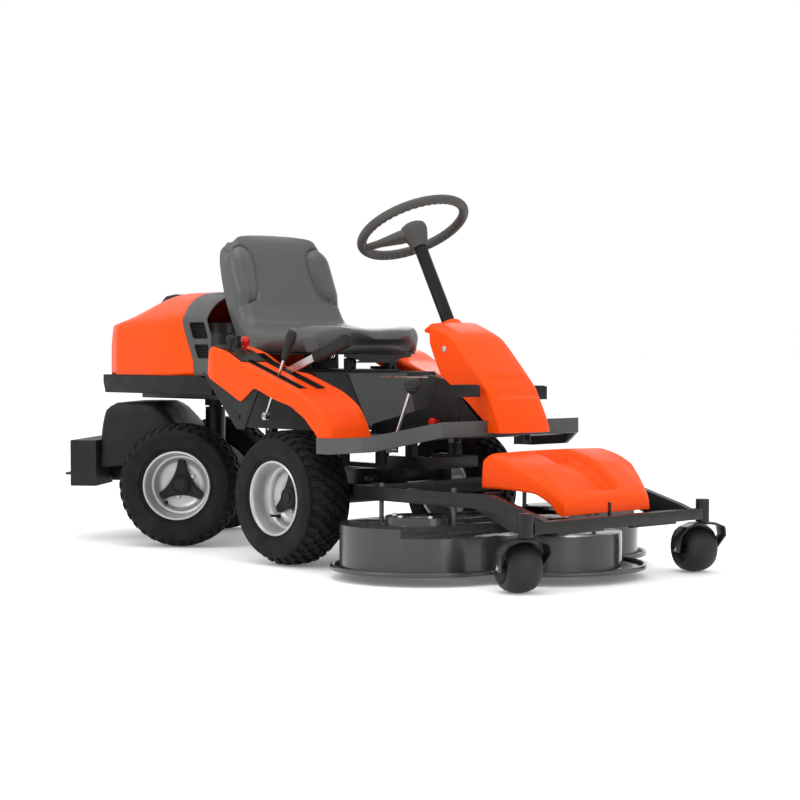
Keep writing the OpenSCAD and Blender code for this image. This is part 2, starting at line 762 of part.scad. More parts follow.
// ---------------------------------------------------------------- equipment frame and deck
module equipment_frame() {
    cross_x = 250;
    slope_x = 790;
    color("#2b2d2f") at_axle() {
        both_sides() {
            // Inner bar from the hinge to the cross bar
            difference() {
                block([arm_pin_x - 18, arm_pin_y - 12, arm_pin_z - 16], [cross_x + 20, arm_pin_y + 12, arm_pin_z + 22]);
                y_bar(arm_pin_x, arm_pin_y - 15, arm_pin_y + 15, arm_pin_z, arm_pin_r + run_fit);
            }
            // Outer side plate, sloping down to the front bar, bored for the deck's guide posts
            difference() {
                side(arm_y - arm_t / 2, arm_y + arm_t / 2) polygon([[cross_x, arm_bottom],
                    [slope_x - 60, arm_bottom], [880, 154], [960, 153], [caster_x + 16, bar_z0 + 2],
                    [caster_x + 16, bar_z1], [960, bar_z1 + 14], [slope_x, arm_top], [cross_x, arm_top]]);
                for (x = guide_x) z_bar(x, arm_y, arm_bottom - 1, arm_top + 1, guide_r + run_fit);
            }
            difference() {
                z_bar(caster_x, caster_y, caster_tube_z0, caster_tube_z1, caster_tube_r);
                z_bar(caster_x, caster_y, caster_tube_z0 - 1, caster_tube_z1 - 8, stem_r + run_fit);
            }
            block([caster_x - 16, 60, bar_z0 - 8], [caster_x + 2, 250, bar_z0 + eps]);
        }
        block([cross_x - 20, -arm_y - arm_t / 2, arm_bottom], [cross_x + 20, arm_y + arm_t / 2, arm_top]);
        block([caster_x - 16, -caster_y + caster_tube_r - 2, bar_z0], [caster_x + 16, caster_y - caster_tube_r + 2, bar_z1]);
    }
}

// Cover over the front of the deck, between the arms
module front_cover_profile() {
    polygon([[686, 262], [692, 352], [722, 362], [830, 330], [925, 262], [948, 236], [950, 194],
        [930, 192], [880, 250], [800, 262]]);
}
module front_cover_plan(margin) {
    half = front_cover_half - margin;
    nose_half = 178 - margin;
    linear_extrude(500) polygon([[680, -half], [820, -half], [952, -nose_half], [952, nose_half],
        [820, half], [680, half]]);
}
front_cover_half = 245;
module front_cover() {
    half = front_cover_half;
    middle = [800, 292];
    color("#ff5f28") at_axle() {
        difference() {
            intersection() {
                side(-half, half) front_cover_profile();
                front_cover_plan(0);
            }
            intersection() {
                side(-half, half) translate([middle[0], middle[1] - 7]) scale(0.96)
                    translate(-middle) front_cover_profile();
                front_cover_plan(sheet);
            }
        }
        // Stays down to the arms
        both_sides() {
            block([750, half - 10, arm_top], [770, arm_y - arm_t / 2 + 6, arm_top + 5]);
            block([750, half - 10, arm_top], [770, half - 3, 300]);
        }
    }
}

// Outline of the deck: two outer lobes and the nose
module deck_plan(outer, nose) {
    translate([spindle_x, -spindle_y]) circle(r = outer, $fn = 96);
    translate([spindle_x, spindle_y]) circle(r = outer, $fn = 96);
    translate([nose_x, 0]) circle(r = nose, $fn = 96);
    translate([spindle_x - outer * 0.8, -spindle_y]) square([outer * 0.8 + 60, 2 * spindle_y]);
}
// Deck body between two heights, lower over the nose
module deck_form(inset, z0, z1) {
    step_x = spindle_x + 125 - inset;
    translate([0, 0, z0]) linear_extrude(z1 - nose_drop - z0) deck_plan(lobe_r - inset, nose_r - inset);
    intersection() {
        translate([0, 0, z0]) linear_extrude(z1 - z0) deck_plan(lobe_r - inset, nose_r - inset);
        block([0, -700, 0], [step_x, 700, 300]);
    }
}
module deck_shell() {
    bearing_r = spindle_r + 14;
    color("#3d4043") at_axle() {
        difference() {
            union() {
                deck_form(0, deck_rim_z, deck_top_z);
                translate([0, 0, deck_rim_z]) linear_extrude(deck_wall) deck_plan(lobe_rim_r, nose_rim_r);
                spindle_posts(bearing_r, deck_top_z - 60);
            }
            difference() {
                deck_form(deck_wall, deck_rim_z - 1, deck_top_z - deck_wall);
                spindle_posts(bearing_r, deck_top_z - 60);
            }
            for (p = spindles) z_bar(p[0], p[1], deck_rim_z, deck_top_z + 50, spindle_r + run_fit);
        }
        both_sides() for (x = guide_x) z_bar(x, arm_y, deck_top_z - deck_wall, guide_top, guide_r);
        // Raised covers over the outer pulleys, open towards the belt
        for (s = [-1, 1]) difference() {
            z_bar(spindle_x, s * spindle_y, deck_top_z - eps, deck_top_z + dome_h, dome_r);
            z_bar(spindle_x, s * spindle_y, deck_top_z - 1, deck_top_z + dome_h - 2, dome_r - 3);
            block([spindle_x - 90, s * spindle_y - (s > 0 ? dome_r + 5 : 0), deck_top_z],
                [spindle_x + 130, s * spindle_y + (s > 0 ? 0 : dome_r + 5), deck_top_z + dome_h - 2]);
        }
    }
}
spindles = [[spindle_x, -spindle_y], [spindle_x, spindle_y], [nose_x, 0]];
module spindle_posts(r, z0) {
    for (p = spindles) z_bar(p[0], p[1], z0, deck_top_z, r);
}

// Flat belt round the three pulleys
module deck_belt() {
    belt_t = 4;
    r = pulley_r + air;
    color("#151515") at_axle() translate([0, 0, pulley_z + 2]) linear_extrude(pulley_h - 4) difference() {
        hull() for (p = spindles) translate(p) circle(r = r + belt_t);
        hull() for (p = spindles) translate(p) circle(r = r);
    }
}

module blade(p) {
    at_axle() translate([p[0], p[1], 0]) {
        cylinder_z = deck_top_z - 60 - 8;
        // Blade bar, hub and spindle shaft in one clamped stack, with the pulley on top
        translate([-blade_r, -25, blade_z]) cube([2 * blade_r, 50, blade_t]);
        translate([0, 0, blade_z]) cylinder(h = cylinder_z - blade_z, r = 24);
        translate([0, 0, blade_z + 5]) cylinder(h = pulley_z + pulley_h - blade_z - 5, r = spindle_r);
        translate([0, 0, pulley_z]) cylinder(h = pulley_h, r = pulley_r);
    }
}
module blade_right() { color("#77797b") blade(spindles[0]); }
module blade_left() { color("#77797b") blade(spindles[1]); }
module blade_middle() { color("#77797b") blade(spindles[2]); }

// ---------------------------------------------------------------- casters
// Caster frame: stem axis along Z, heading along X; s = -1 for the right, 1 for the left
module on_caster(s) { at_axle() translate([caster_x, s * caster_y, 0]) rotate([0, 0, caster_turn]) children(); }
fork_gap = 2;
fork_t = 6;
caster_pin_r = 6;
module caster_fork() {
    leg = caster_w / 2 + fork_gap;
    top = caster_tube_z0 - 2;
    shoulder = leg + 17;
    difference() {
        intersection() {
            // Bent strap seen from the front
            rotate([90, 0, 90]) translate([0, 0, -150]) linear_extrude(200) polygon([
                [-leg - fork_t, caster_r - 14], [-shoulder - fork_t, 108], [-shoulder + 8, top - 12],
                [-30, top], [30, top], [shoulder - 8, top - 12], [shoulder + fork_t, 108],
                [leg + fork_t, caster_r - 14], [leg, caster_r - 14], [shoulder, 108],
                [shoulder - 12, top - 16], [28, top - fork_t], [-28, top - fork_t],
                [-shoulder + 12, top - 16], [-shoulder, 108], [-leg, caster_r - 14]]);
            // Strap seen from the side, raked back to the wheel's axle
            side(-200, 200) polygon([[-24, top + 1], [24, top + 1], [22, top - 20],
                [20 - caster_trail, caster_r - 15], [-20 - caster_trail, caster_r - 15], [-26, top - 20]]);
        }
    }
    translate([0, 0, top - eps]) cylinder(h = caster_tube_z1 - 10 - top, r = stem_r);
    y_bar(-caster_trail, -leg - fork_t - 8, leg + fork_t + 8, caster_r, caster_pin_r);
}
module caster_wheel() {
    w = caster_w / 2;
    difference() {
        translate([-caster_trail, 0, caster_r]) rotate([-90, 0, 0]) rotate_extrude($fn = 72)
            polygon([[0, -w], [caster_r - 22, -w], [caster_r - 9, -w * 0.72], [caster_r - 2, -w * 0.36], [caster_r, 0],
                [caster_r - 2, w * 0.36], [caster_r - 9, w * 0.72], [caster_r - 22, w], [0, w]]);
        y_bar(-caster_trail, -w - 1, w + 1, caster_r, caster_pin_r + run_fit);
    }
}
module caster_fork_right() { color("#232426") on_caster(-1) caster_fork(); }
module caster_fork_left() { color("#232426") on_caster(1) caster_fork(); }
module caster_wheel_right() { color("#2a2b2d") on_caster(-1) caster_wheel(); }
module caster_wheel_left() { color("#2a2b2d") on_caster(1) caster_wheel(); }

// ---------------------------------------------------------------- pedals and levers
// Sleeve and rod of a pedal that turns at its pivot under the floor
module pedal_arm(at, top) {
    z = pedal_pivot_z(at[0]);
    difference() {
        union() {
            y_bar(at[0], at[1] - pedal_half + 1, at[1] + pedal_half - 1, z, pedal_sleeve_r);
            rod([at[0], at[1], z], [top[0], at[1], top[1]], 5);
        }
        y_bar(at[0], at[1] - pedal_half, at[1] + pedal_half, z, pedal_pin_r + run_fit);
    }
}
module pedal_pad(at, x0, x1, z0, z1, half) { block([x0, at[1] - half, z0], [x1, at[1] + half, z1]); }
module forward_pedal() {
    color("#1d1e20") at_axle() {
        pedal_arm(forward_pedal_at, [548, 525]);
        pedal_pad(forward_pedal_at, 526, 572, 512, 545, 52);
    }
}
module reverse_pedal() {
    color("#1d1e20") at_axle() {
        pedal_arm(reverse_pedal_at, [469, 545]);
        translate([469, reverse_pedal_at[1], 545]) sphere(r = 22);
    }
}
module brake_pedal() {
    color("#1d1e20") at_axle() {
        pedal_arm(brake_pedal_at, [476, 515]);
        pedal_pad(brake_pedal_at, 454, 500, 497, 537, 50);
    }
}

lift_rise = 18.9;
module lift_lever() {
    color("#b9bcbe") at_axle() translate([lift_x, lift_y, lift_z]) rotate([0, -lift_rise, 0]) {
        difference() {
            union() {
                y_bar(0, -10, 10, 0, 13);
                block([0, -3, -11], [290, 3, 11]);
            }
            y_bar(0, -11, 11, 0, pin_r + run_fit);
        }
        translate([268, 0, 0]) rotate([0, 90, 0]) cylinder(h = 146, r = 18);
    }
}

height_lean = 26.8;
module height_lever() {
    color("#55585b") at_axle() translate([height_x, height_y, height_z]) rotate([0, height_lean, 0]) {
        difference() {
            union() {
                y_bar(0, -8, 8, 0, 12);
                cylinder(h = 205, r = 5);
            }
            y_bar(0, -9, 9, 0, pin_r + run_fit);
        }
        translate([0, 0, 200]) cylinder(h = 85, r = 14);
    }
}

// Small lever on the throttle pin, with a flat knob
module panel_lever(y, knob_z) {
    at_axle() difference() {
        union() {
            y_bar(panel_pin_x, y - 4, y + 4, panel_pin_z, 7);
            block([panel_pin_x - 4, y - 2, panel_pin_z], [panel_pin_x + 4, y + 2, knob_z]);
            block([panel_pin_x - 11, y - 6, knob_z - 14], [panel_pin_x + 11, y + 6, knob_z + 14]);
        }
        y_bar(panel_pin_x, y - 5, y + 5, panel_pin_z, panel_pin_r + run_fit);
    }
}
module throttle_lever() { color("#3b3e41") panel_lever(throttle_y, 676); }
module choke_lever() { color("#b3261e") panel_lever(choke_y, 672); }

module brake_button() {
    color("#c0271c") at_axle() {
        y_bar(370, -tunnel_half - 18, -tunnel_half + 12, floor_z + 44, 7);
        y_bar(370, -tunnel_half - 26, -tunnel_half - 14, floor_z + 44, 12);
    }
}

key_at = [-292, -330];
key_r = 9;
module ignition_switch() {
    color("#1a1b1c") at_axle() {
        z_bar(key_at[0], key_at[1], 636, 672, key_r);
        block([key_at[0] - 1.5, key_at[1] - 8, 671], [key_at[0] + 1.5, key_at[1] + 8, 690]);
    }
}

main_frame();
front_axle();
platform();
tunnel();
seat_pedestal();
right_fender();
left_fender();
fender_lower_covers();
control_panel();
column_cover();
steering_column();
engine();
battery();
fuel_tank();
hood_tray();
chassis_fasteners();
hood_shell();
hood_grille();
hood_handle();
steering_wheel();
seat_bracket();
seat_pan();
seat_cushion();
rear_frame();
rear_transaxle();
rear_cover();
rear_bumper();
tyre_front_right();
rim_front_right();
cap_front_right();
tyre_front_left();
rim_front_left();
cap_front_left();
tyre_rear_right();
rim_rear_right();
cap_rear_right();
tyre_rear_left();
rim_rear_left();
cap_rear_left();
equipment_frame();
front_cover();
deck_shell();
deck_belt();
blade_right();
blade_middle();
blade_left();
caster_fork_right();
caster_fork_left();
caster_wheel_right();
caster_wheel_left();
forward_pedal();
reverse_pedal();
brake_pedal();
lift_lever();
height_lever();
throttle_lever();
choke_lever();
brake_button();
ignition_switch();
fuel_cap();
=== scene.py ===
import json
from math import acos, cos, exp, pi, radians, sin, sqrt

import bmesh
import bpy
from mathutils import Matrix, Vector

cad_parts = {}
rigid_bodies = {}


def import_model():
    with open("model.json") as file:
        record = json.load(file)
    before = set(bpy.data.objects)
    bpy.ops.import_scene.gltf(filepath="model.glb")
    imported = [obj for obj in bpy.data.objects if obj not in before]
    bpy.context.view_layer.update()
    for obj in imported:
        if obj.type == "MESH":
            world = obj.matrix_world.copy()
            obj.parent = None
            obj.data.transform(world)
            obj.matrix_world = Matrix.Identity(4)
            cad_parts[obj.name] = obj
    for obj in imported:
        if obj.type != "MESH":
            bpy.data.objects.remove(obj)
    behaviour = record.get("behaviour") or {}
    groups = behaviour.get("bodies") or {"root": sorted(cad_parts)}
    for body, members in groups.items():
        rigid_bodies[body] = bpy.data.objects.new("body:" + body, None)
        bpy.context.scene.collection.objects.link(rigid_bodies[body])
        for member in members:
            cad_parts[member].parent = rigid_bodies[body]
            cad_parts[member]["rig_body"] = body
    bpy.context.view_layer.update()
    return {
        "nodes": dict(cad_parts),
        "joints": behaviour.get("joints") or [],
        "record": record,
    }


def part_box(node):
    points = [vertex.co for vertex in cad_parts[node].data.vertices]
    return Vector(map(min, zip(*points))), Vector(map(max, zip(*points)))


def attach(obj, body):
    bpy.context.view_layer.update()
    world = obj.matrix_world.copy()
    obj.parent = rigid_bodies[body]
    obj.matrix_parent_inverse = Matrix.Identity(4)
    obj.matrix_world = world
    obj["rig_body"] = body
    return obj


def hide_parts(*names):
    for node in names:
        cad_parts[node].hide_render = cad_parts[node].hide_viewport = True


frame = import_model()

# Riding mower. Lengths in the functions below are millimetres from the middle of the front axle on the
# ground: X forward, Y to the driver's left, Z up. TO_AXLE turns them into metres in the row frame.
MM = 0.001


def middle(node):
    low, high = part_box(node)
    return (low + high) / 2


def joint_named(name):
    """The frame's record of a joint."""
    return next(joint for joint in frame["joints"] if joint["name"] == name)


AXLE_X = middle("front_axle").x
WHEEL_R = (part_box("tyre_front_right")[1].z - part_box("tyre_front_right")[0].z) / 2 / MM
STEER = joint_named("rear_steer")
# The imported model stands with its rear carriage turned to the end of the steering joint's range
STEER_TURN = radians(-STEER["range_deg"][0] / 2)

TO_AXLE = Matrix.Translation((AXLE_X, 0, 0)) @ Matrix.Scale(MM, 4)
TO_CARRIAGE = (Matrix.Translation((STEER["pos_m"][0], 0, 0)) @ Matrix.Rotation(STEER_TURN, 4, "Z")
               @ Matrix.Scale(MM, 4))


# ---------------------------------------------------------------- camera, floor and lights
# A long lens at axle height, ahead of the machine and to its right. The angles are degrees.
LENS_MM, SENSOR_MM = 87.577, 36
CAMERA_PLACE = (4.6755, -4.0857, 0.6520)
CAMERA_AZIMUTH, CAMERA_FALL = 47.28, 1.53
FLOOR_HALF = 40


def make_camera():
    data = bpy.data.cameras.new("camera")
    data.lens = LENS_MM
    data.sensor_width = SENSOR_MM
    camera = bpy.data.objects.new("camera", data)
    camera.location = CAMERA_PLACE
    camera.rotation_euler = (radians(90 - CAMERA_FALL), 0, radians(CAMERA_AZIMUTH))
    bpy.context.scene.collection.objects.link(camera)
    bpy.context.scene.camera = camera


def make_stage():
    paint = bpy.data.materials.new("studio_floor")
    paint.use_nodes = True
    nodes, links = paint.node_tree.nodes, paint.node_tree.links
    shader = nodes["Principled BSDF"]
    shader.inputs["Roughness"].default_value = 0.9
    shader.inputs["Emission Color"].default_value = (1, 1, 1, 1)
    shader.inputs["Emission Strength"].default_value = 0.12
    noise = nodes.new("ShaderNodeTexNoise")
    noise.inputs["Scale"].default_value = 2
    ramp = nodes.new("ShaderNodeValToRGB")
    ramp.color_ramp.elements[0].color = (0.985, 0.985, 0.985, 1)
    ramp.color_ramp.elements[1].color = (1, 1, 1, 1)
    links.new(noise.outputs["Fac"], ramp.inputs["Fac"])
    links.new(ramp.outputs["Color"], shader.inputs["Base Color"])
    mesh = bpy.data.meshes.new("floor")
    half = FLOOR_HALF
    mesh.from_pydata([(-half, -half, 0), (half, -half, 0), (half, half, 0), (-half, half, 0)], [],
                     [(0, 1, 2, 3)])
    mesh.materials.append(paint)
    floor = bpy.data.objects.new("floor", mesh)
    bpy.context.scene.collection.objects.link(floor)


def make_lights():
    world = bpy.data.worlds.new("studio")
    bpy.context.scene.world = world
    world.use_nodes = True
    world.node_tree.nodes["Background"].inputs["Color"].default_value = (1, 1, 1, 1)
    world.node_tree.nodes["Background"].inputs["Strength"].default_value = 1.0
    bpy.context.scene.view_settings.view_transform = "Standard"
    # name, place, aim, size, watts: a big overhead box, a key on the camera side and a low fill at the front
    for name, place, aim, size, power in (
            ("overhead", (0.3, -0.4, 3.6), (0, 0, 0.3), 3.2, 52),
            ("key", (-0.6, -3.9, 2.6), (-0.1, 0, 0.5), 1.8, 34),
            ("front", (4.2, -0.6, 1.5), (0.5, 0, 0.4), 1.6, 20),
            ("back", (-2.6, 2.8, 2.4), (0, 0, 0.5), 1.8, 24)):
        data = bpy.data.lights.new(name, "AREA")
        data.size = size
        data.energy = power
        lamp = bpy.data.objects.new(name, data)
        lamp.location = place
        lamp.rotation_euler = (Vector(aim) - Vector(place)).to_track_quat("-Z", "Y").to_euler()
        bpy.context.scene.collection.objects.link(lamp)


# ---------------------------------------------------------------- materials
def finish(name, colour, roughness, metallic=0.0, coat=0.0, mottle=0.12, mottle_scale=7.0,
           grain=300.0, bump=0.1, depth=0.0004, dust=None, dust_amount=0.0, smudge=0.08, specular=0.3,
           cells=False):
    """A surface with tone and gloss that vary, a fine grain in relief, and dust in broad patches."""
    made = bpy.data.materials.new(name)
    made.use_nodes = True
    nodes, links = made.node_tree.nodes, made.node_tree.links
    shader = nodes["Principled BSDF"]
    shader.inputs["Metallic"].default_value = metallic
    shader.inputs["Specular IOR Level"].default_value = specular
    shader.inputs["Coat Weight"].default_value = coat
    shader.inputs["Coat Roughness"].default_value = 0.12
    place = nodes.new("ShaderNodeTexCoord")

    def noise(scale, detail):
        node = nodes.new("ShaderNodeTexNoise")
        node.inputs["Scale"].default_value = scale
        node.inputs["Detail"].default_value = detail
        links.new(place.outputs["Object"], node.inputs["Vector"])
        return node.outputs["Fac"]

    def ramp(source, low, high, first, last):
        node = nodes.new("ShaderNodeValToRGB")
        node.color_ramp.elements[0].position = low
        node.color_ramp.elements[1].position = high
        node.color_ramp.elements[0].color = first
        node.color_ramp.elements[1].color = last
        links.new(source, node.inputs["Fac"])
        return node.outputs["Color"]

    def tone(factor):
        return tuple(min(1, c * factor) for c in colour) + (1,)

    base = ramp(noise(mottle_scale, 5), 0.3, 0.7, tone(1 - mottle), tone(1 + mottle))
    if dust:
        mix = nodes.new("ShaderNodeMix")
        mix.data_type = "RGBA"
        mask = ramp(noise(mottle_scale * 2.3, 8), 0.45, 0.8, (0, 0, 0, 1), (dust_amount,) * 3 + (1,))
        links.new(mask, mix.inputs["Factor"])
        links.new(base, mix.inputs["A"])
        mix.inputs["B"].default_value = (*dust, 1)
        base = mix.outputs["Result"]
    links.new(base, shader.inputs["Base Color"])

    gloss = nodes.new("ShaderNodeMapRange")
    gloss.inputs["From Min"].default_value = 0.3
    gloss.inputs["From Max"].default_value = 0.7
    gloss.inputs["To Min"].default_value = max(0.03, roughness - smudge)
    gloss.inputs["To Max"].default_value = min(1, roughness + smudge)
    links.new(noise(mottle_scale * 3.1, 6), gloss.inputs["Value"])
    links.new(gloss.outputs["Result"], shader.inputs["Roughness"])

    relief = nodes.new("ShaderNodeBump")
    relief.inputs["Strength"].default_value = bump
    relief.inputs["Distance"].default_value = depth
    if cells:
        leather = nodes.new("ShaderNodeTexVoronoi")
        leather.feature = "SMOOTH_F1"
        leather.inputs["Scale"].default_value = grain
        leather.inputs["Smoothness"].default_value = 0.4
        links.new(place.outputs["Object"], leather.inputs["Vector"])
        links.new(leather.outputs["Distance"], relief.inputs["Height"])
    else:
        links.new(noise(grain, 4), relief.inputs["Height"])
    links.new(relief.outputs["Normal"], shader.inputs["Normal"])
    return made


DRY_GRASS = (0.12, 0.105, 0.07)
GREY_DUST = (0.16, 0.155, 0.145)
ORANGE = finish("orange_plastic", (0.84, 0.066, 0.0015), 0.36, coat=0.03, specular=0.10, mottle=0.035,
                mottle_scale=3,
                grain=900, bump=0.05, depth=0.0002)
DARK = finish("dark_plastic_grained", (0.015, 0.015, 0.015), 0.5, mottle=0.10, specular=0.18, grain=620,
              bump=0.35,
              depth=0.0003, dust=GREY_DUST, dust_amount=0.05, cells=True)
BLACK = finish("black_plastic_grained", (0.006, 0.006, 0.006), 0.46, specular=0.18, grain=700, bump=0.3,
               depth=0.0003,
               dust=GREY_DUST, dust_amount=0.04, cells=True)
FRAME = finish("frame_powder_coat", (0.012, 0.012, 0.012), 0.34, coat=0.04, specular=0.24, grain=420,
               bump=0.16,
               dust=DRY_GRASS, dust_amount=0.04)
DECK = finish("deck_enamel", (0.036, 0.037, 0.037), 0.22, coat=0.35, grain=160, bump=0.06, mottle_scale=5,
              specular=0.45, dust=DRY_GRASS, dust_amount=0.05)
STEEL = finish("zinc_steel", (0.55, 0.55, 0.54), 0.30, metallic=1.0, grain=500, bump=0.1, mottle_scale=22)
RIM = finish("rim_silver_paint", (0.50, 0.50, 0.50), 0.34, metallic=0.55, grain=600, bump=0.05,
             mottle=0.05, dust=GREY_DUST, dust_amount=0.12)
TYRE = finish("tyre_rubber", (0.006, 0.006, 0.006), 0.66, mottle=0.2, grain=380, bump=0.35,
              specular=0.16, dust=(0.030, 0.029, 0.026), dust_amount=0.35)
RUBBER = finish("hard_rubber", (0.009, 0.009, 0.0095), 0.48, mottle=0.15, grain=330, bump=0.25,
                dust=GREY_DUST, dust_amount=0.03)
VINYL = finish("seat_vinyl", (0.066, 0.067, 0.067), 0.38, mottle=0.06, mottle_scale=4,
               grain=430, bump=0.4, depth=0.0004, specular=0.4, cells=True)
ENGINE = finish("engine_alloy", (0.22, 0.22, 0.22), 0.42, metallic=0.85, grain=240, bump=0.3,
                dust=DRY_GRASS, dust_amount=0.2)
RED = finish("red_plastic", (0.50, 0.008, 0.007), 0.32, coat=0.15, grain=700, bump=0.08)
GREY = finish("grey_plastic", (0.10, 0.10, 0.096), 0.5, grain=600, bump=0.25, cells=True)
SATIN = finish("satin_grey_plastic", (0.062, 0.062, 0.062), 0.46, grain=620, bump=0.3, depth=0.0003,
               specular=0.3,
               cells=True)
PANEL = finish("pedestal_paint", (0.048, 0.048, 0.050), 0.42, grain=520, bump=0.12, specular=0.4)
WHEEL_SKIN = finish("steering_rim_foam", (0.058, 0.056, 0.052), 0.56, grain=520, bump=0.35, cells=True)
SLOTS = {"orange_shell": ORANGE, "dark_plastic": DARK, "black_plastic": BLACK, "frame_paint": FRAME,
         "deck_paint": DECK, "bare_steel": STEEL, "rim_paint": RIM, "tyre_rubber": TYRE,
         "hard_rubber": RUBBER,
         "seat_vinyl": VINYL, "engine_metal": ENGINE, "red_plastic": RED, "grey_plastic": GREY}


# ---------------------------------------------------------------- mesh tools
def body_of_node(node):
    return frame["nodes"][node]["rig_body"]


def add_piece(name, mesh, body, slot, replaces=(), material=None, place=None, crease=38):
    """Puts a mesh in the scene as a piece on a body, shaded smooth except over edges sharper than crease."""
    mesh.materials.clear()
    mesh.materials.append(material or SLOTS[slot])
    piece = bpy.data.objects.new(name, mesh)
    bpy.context.scene.collection.objects.link(piece)
    if place is not None:
        piece.matrix_world = place
    mesh.shade_smooth()
    mesh.set_sharp_from_angle(angle=radians(crease))
    if replaces:
        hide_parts(*replaces)
    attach(piece, body)
    return piece


def to_mesh(name, bm, transform=None):
    """Turns a bmesh into a mesh with its faces outwards, and frees it."""
    if transform is not None:
        bm.transform(transform)
    bmesh.ops.recalc_face_normals(bm, faces=bm.faces)
    mesh = bpy.data.meshes.new(name)
    bm.to_mesh(mesh)
    bm.free()
    return mesh


def bevelled(bm, width, segments=3, angle=28):
    """Rounds every edge of bm sharper than angle."""
    sharp = [e for e in bm.edges if len(e.link_faces) == 2 and e.calc_face_angle(0) > radians(angle)]
    if sharp:
        bmesh.ops.bevel(bm, geom=sharp, offset=width, segments=segments, profile=0.5,
                        affect="EDGES", clamp_overlap=True)
    return bm


def softened(name, node, slot, width, material=None, segments=3):
    """A piece with a CAD node's own shape and its edges rounded, which stands for that node."""
    bm = bmesh.new()
    bm.from_mesh(frame["nodes"][node].data)
    bmesh.ops.remove_doubles(bm, verts=bm.verts, dist=1e-5)
    bmesh.ops.dissolve_limit(bm, angle_limit=radians(1.5), verts=bm.verts, edges=bm.edges)
    bevelled(bm, width * MM, segments)
    return add_piece(name, to_mesh(name, bm), body_of_node(node), slot, [node], material)


def loft(rings, closed_ends=True, closed_rings=True):
    """Quads between rings of equally many points, with a face over each end."""
    bm = bmesh.new()
    rows = [[bm.verts.new(p) for p in ring] for ring in rings]
    count = len(rows[0])
    for a, b in zip(rows, rows[1:]):
        for i in range(count if closed_rings else count - 1):
            j = (i + 1) % count
            bm.faces.new((a[i], a[j], b[j], b[i]))
    if closed_ends and closed_rings:
        bm.faces.new(rows[0])
        bm.faces.new(rows[-1][::-1])
    return bm


def prism(outline, low, high, axis="Y"):
    """A side outline (x, z) given thickness along Y, or a plan outline (x, y) given thickness along Z."""
    def point(p, t):
        return (p[0], t, p[1]) if axis == "Y" else (p[0], p[1], t)
    return loft([[point(p, low) for p in outline], [point(p, high) for p in outline]])


def lathe(profile, segments, closed=True):
    """Turns a profile of (radius, height) about Z. A closed profile goes all round the section."""
    rings = []
    for i in range(segments + 1):
        turn = 2 * pi * (i % segments) / segments
        rings.append([(r * cos(turn), r * sin(turn), z) for r, z in profile])
    bm = loft(rings, closed_ends=False, closed_rings=closed)
    bmesh.ops.remove_doubles(bm, verts=bm.verts, dist=0.001)
    return bm


def plug(radius, low, high, sides):
    """A solid round bar along Z."""
    return lathe([(0, low), (radius, low), (radius, high), (0, high)], sides, closed=False)


def tube(points, radius, sides=16, closed=False):
    """A round bar along a line of points; radius may be one number or one for each point."""
    points = [Vector(p) for p in points]
    count = len(points)
    radii = radius if isinstance(radius, (list, tuple)) else [radius] * count
    rings = []
    side = None
    for i, p in enumerate(points):
        before = points[(i - 1) % count] if closed or i else p
        after = points[(i + 1) % count] if closed or i < count - 1 else p
        along = (after - before).normalized()
        if side is None:
            side = along.orthogonal()
        side = (side - along * side.dot(along)).normalized()
        up = along.cross(side)
        rings.append([p + (side * cos(2 * pi * k / sides) + up * sin(2 * pi * k / sides)) * radii[i]
                      for k in range(sides)])
    if closed:
        rings.append(rings[0])
    bm = loft(rings, closed_ends=not closed)
    bmesh.ops.remove_doubles(bm, verts=bm.verts, dist=0.0005)
    return bm


def joined(*parts):
    """One bmesh from several."""
    whole = bmesh.new()
    for part in parts:
        mesh = bpy.data.meshes.new("part")
        part.to_mesh(mesh)
        part.free()
        whole.from_mesh(mesh)
        bpy.data.meshes.remove(mesh)
    return whole


def block(low, high):
    """A box between two corners."""
    outline = [(low[0], low[1]), (high[0], low[1]), (high[0], high[1]), (low[0], high[1])]
    return prism(outline, low[2], high[2], axis="Z")


def rounded(outline, radius, steps=4):
    """An outline with each corner cut to an arc-like run of points."""
    count = len(outline)
    points = []
    for i, corner in enumerate(outline):
        corner = Vector(corner)
        before, after = Vector(outline[i - 1]), Vector(outline[(i + 1) % count])
        reach = min(radius, (before - corner).length * 0.45, (after - corner).length * 0.45)
        a = corner + (before - corner).normalized() * reach
        b = corner + (after - corner).normalized() * reach
        for k in range(steps + 1):
            t = k / steps
            points.append(tuple(a * (1 - t) ** 2 + corner * 2 * t * (1 - t) + b * t ** 2))
    return points


def thickened(piece, wall):
    """Gives a sheet its wall, which grows inwards."""
    modifier = piece.modifiers.new("wall", "SOLIDIFY")
    modifier.thickness = wall * MM
    modifier.offset = -1
    return piece


def smooth_step(value, start, end):
    """Rises from 0 to 1 as value goes from start to end, level at both."""
    t = max(0.0, min(1.0, (value - start) / (end - start)))
    return t * t * (3 - 2 * t)


def between(value, table):
    """Straight-line value between the (x, y) pairs of a short table."""
    if value <= table[0][0]:
        return table[0][1]
    for (x0, y0), (x1, y1) in zip(table, table[1:]):
        if value <= x1:
            return y0 + (y1 - y0) * (value - x0) / (x1 - x0)
    return table[-1][1]


SIDES = (("right", -1), ("left", 1))


# ---------------------------------------------------------------- wheels
TYRE_HALF_W = 82.5
RIM_R = 112.0
TREAD_PITCHES = 34


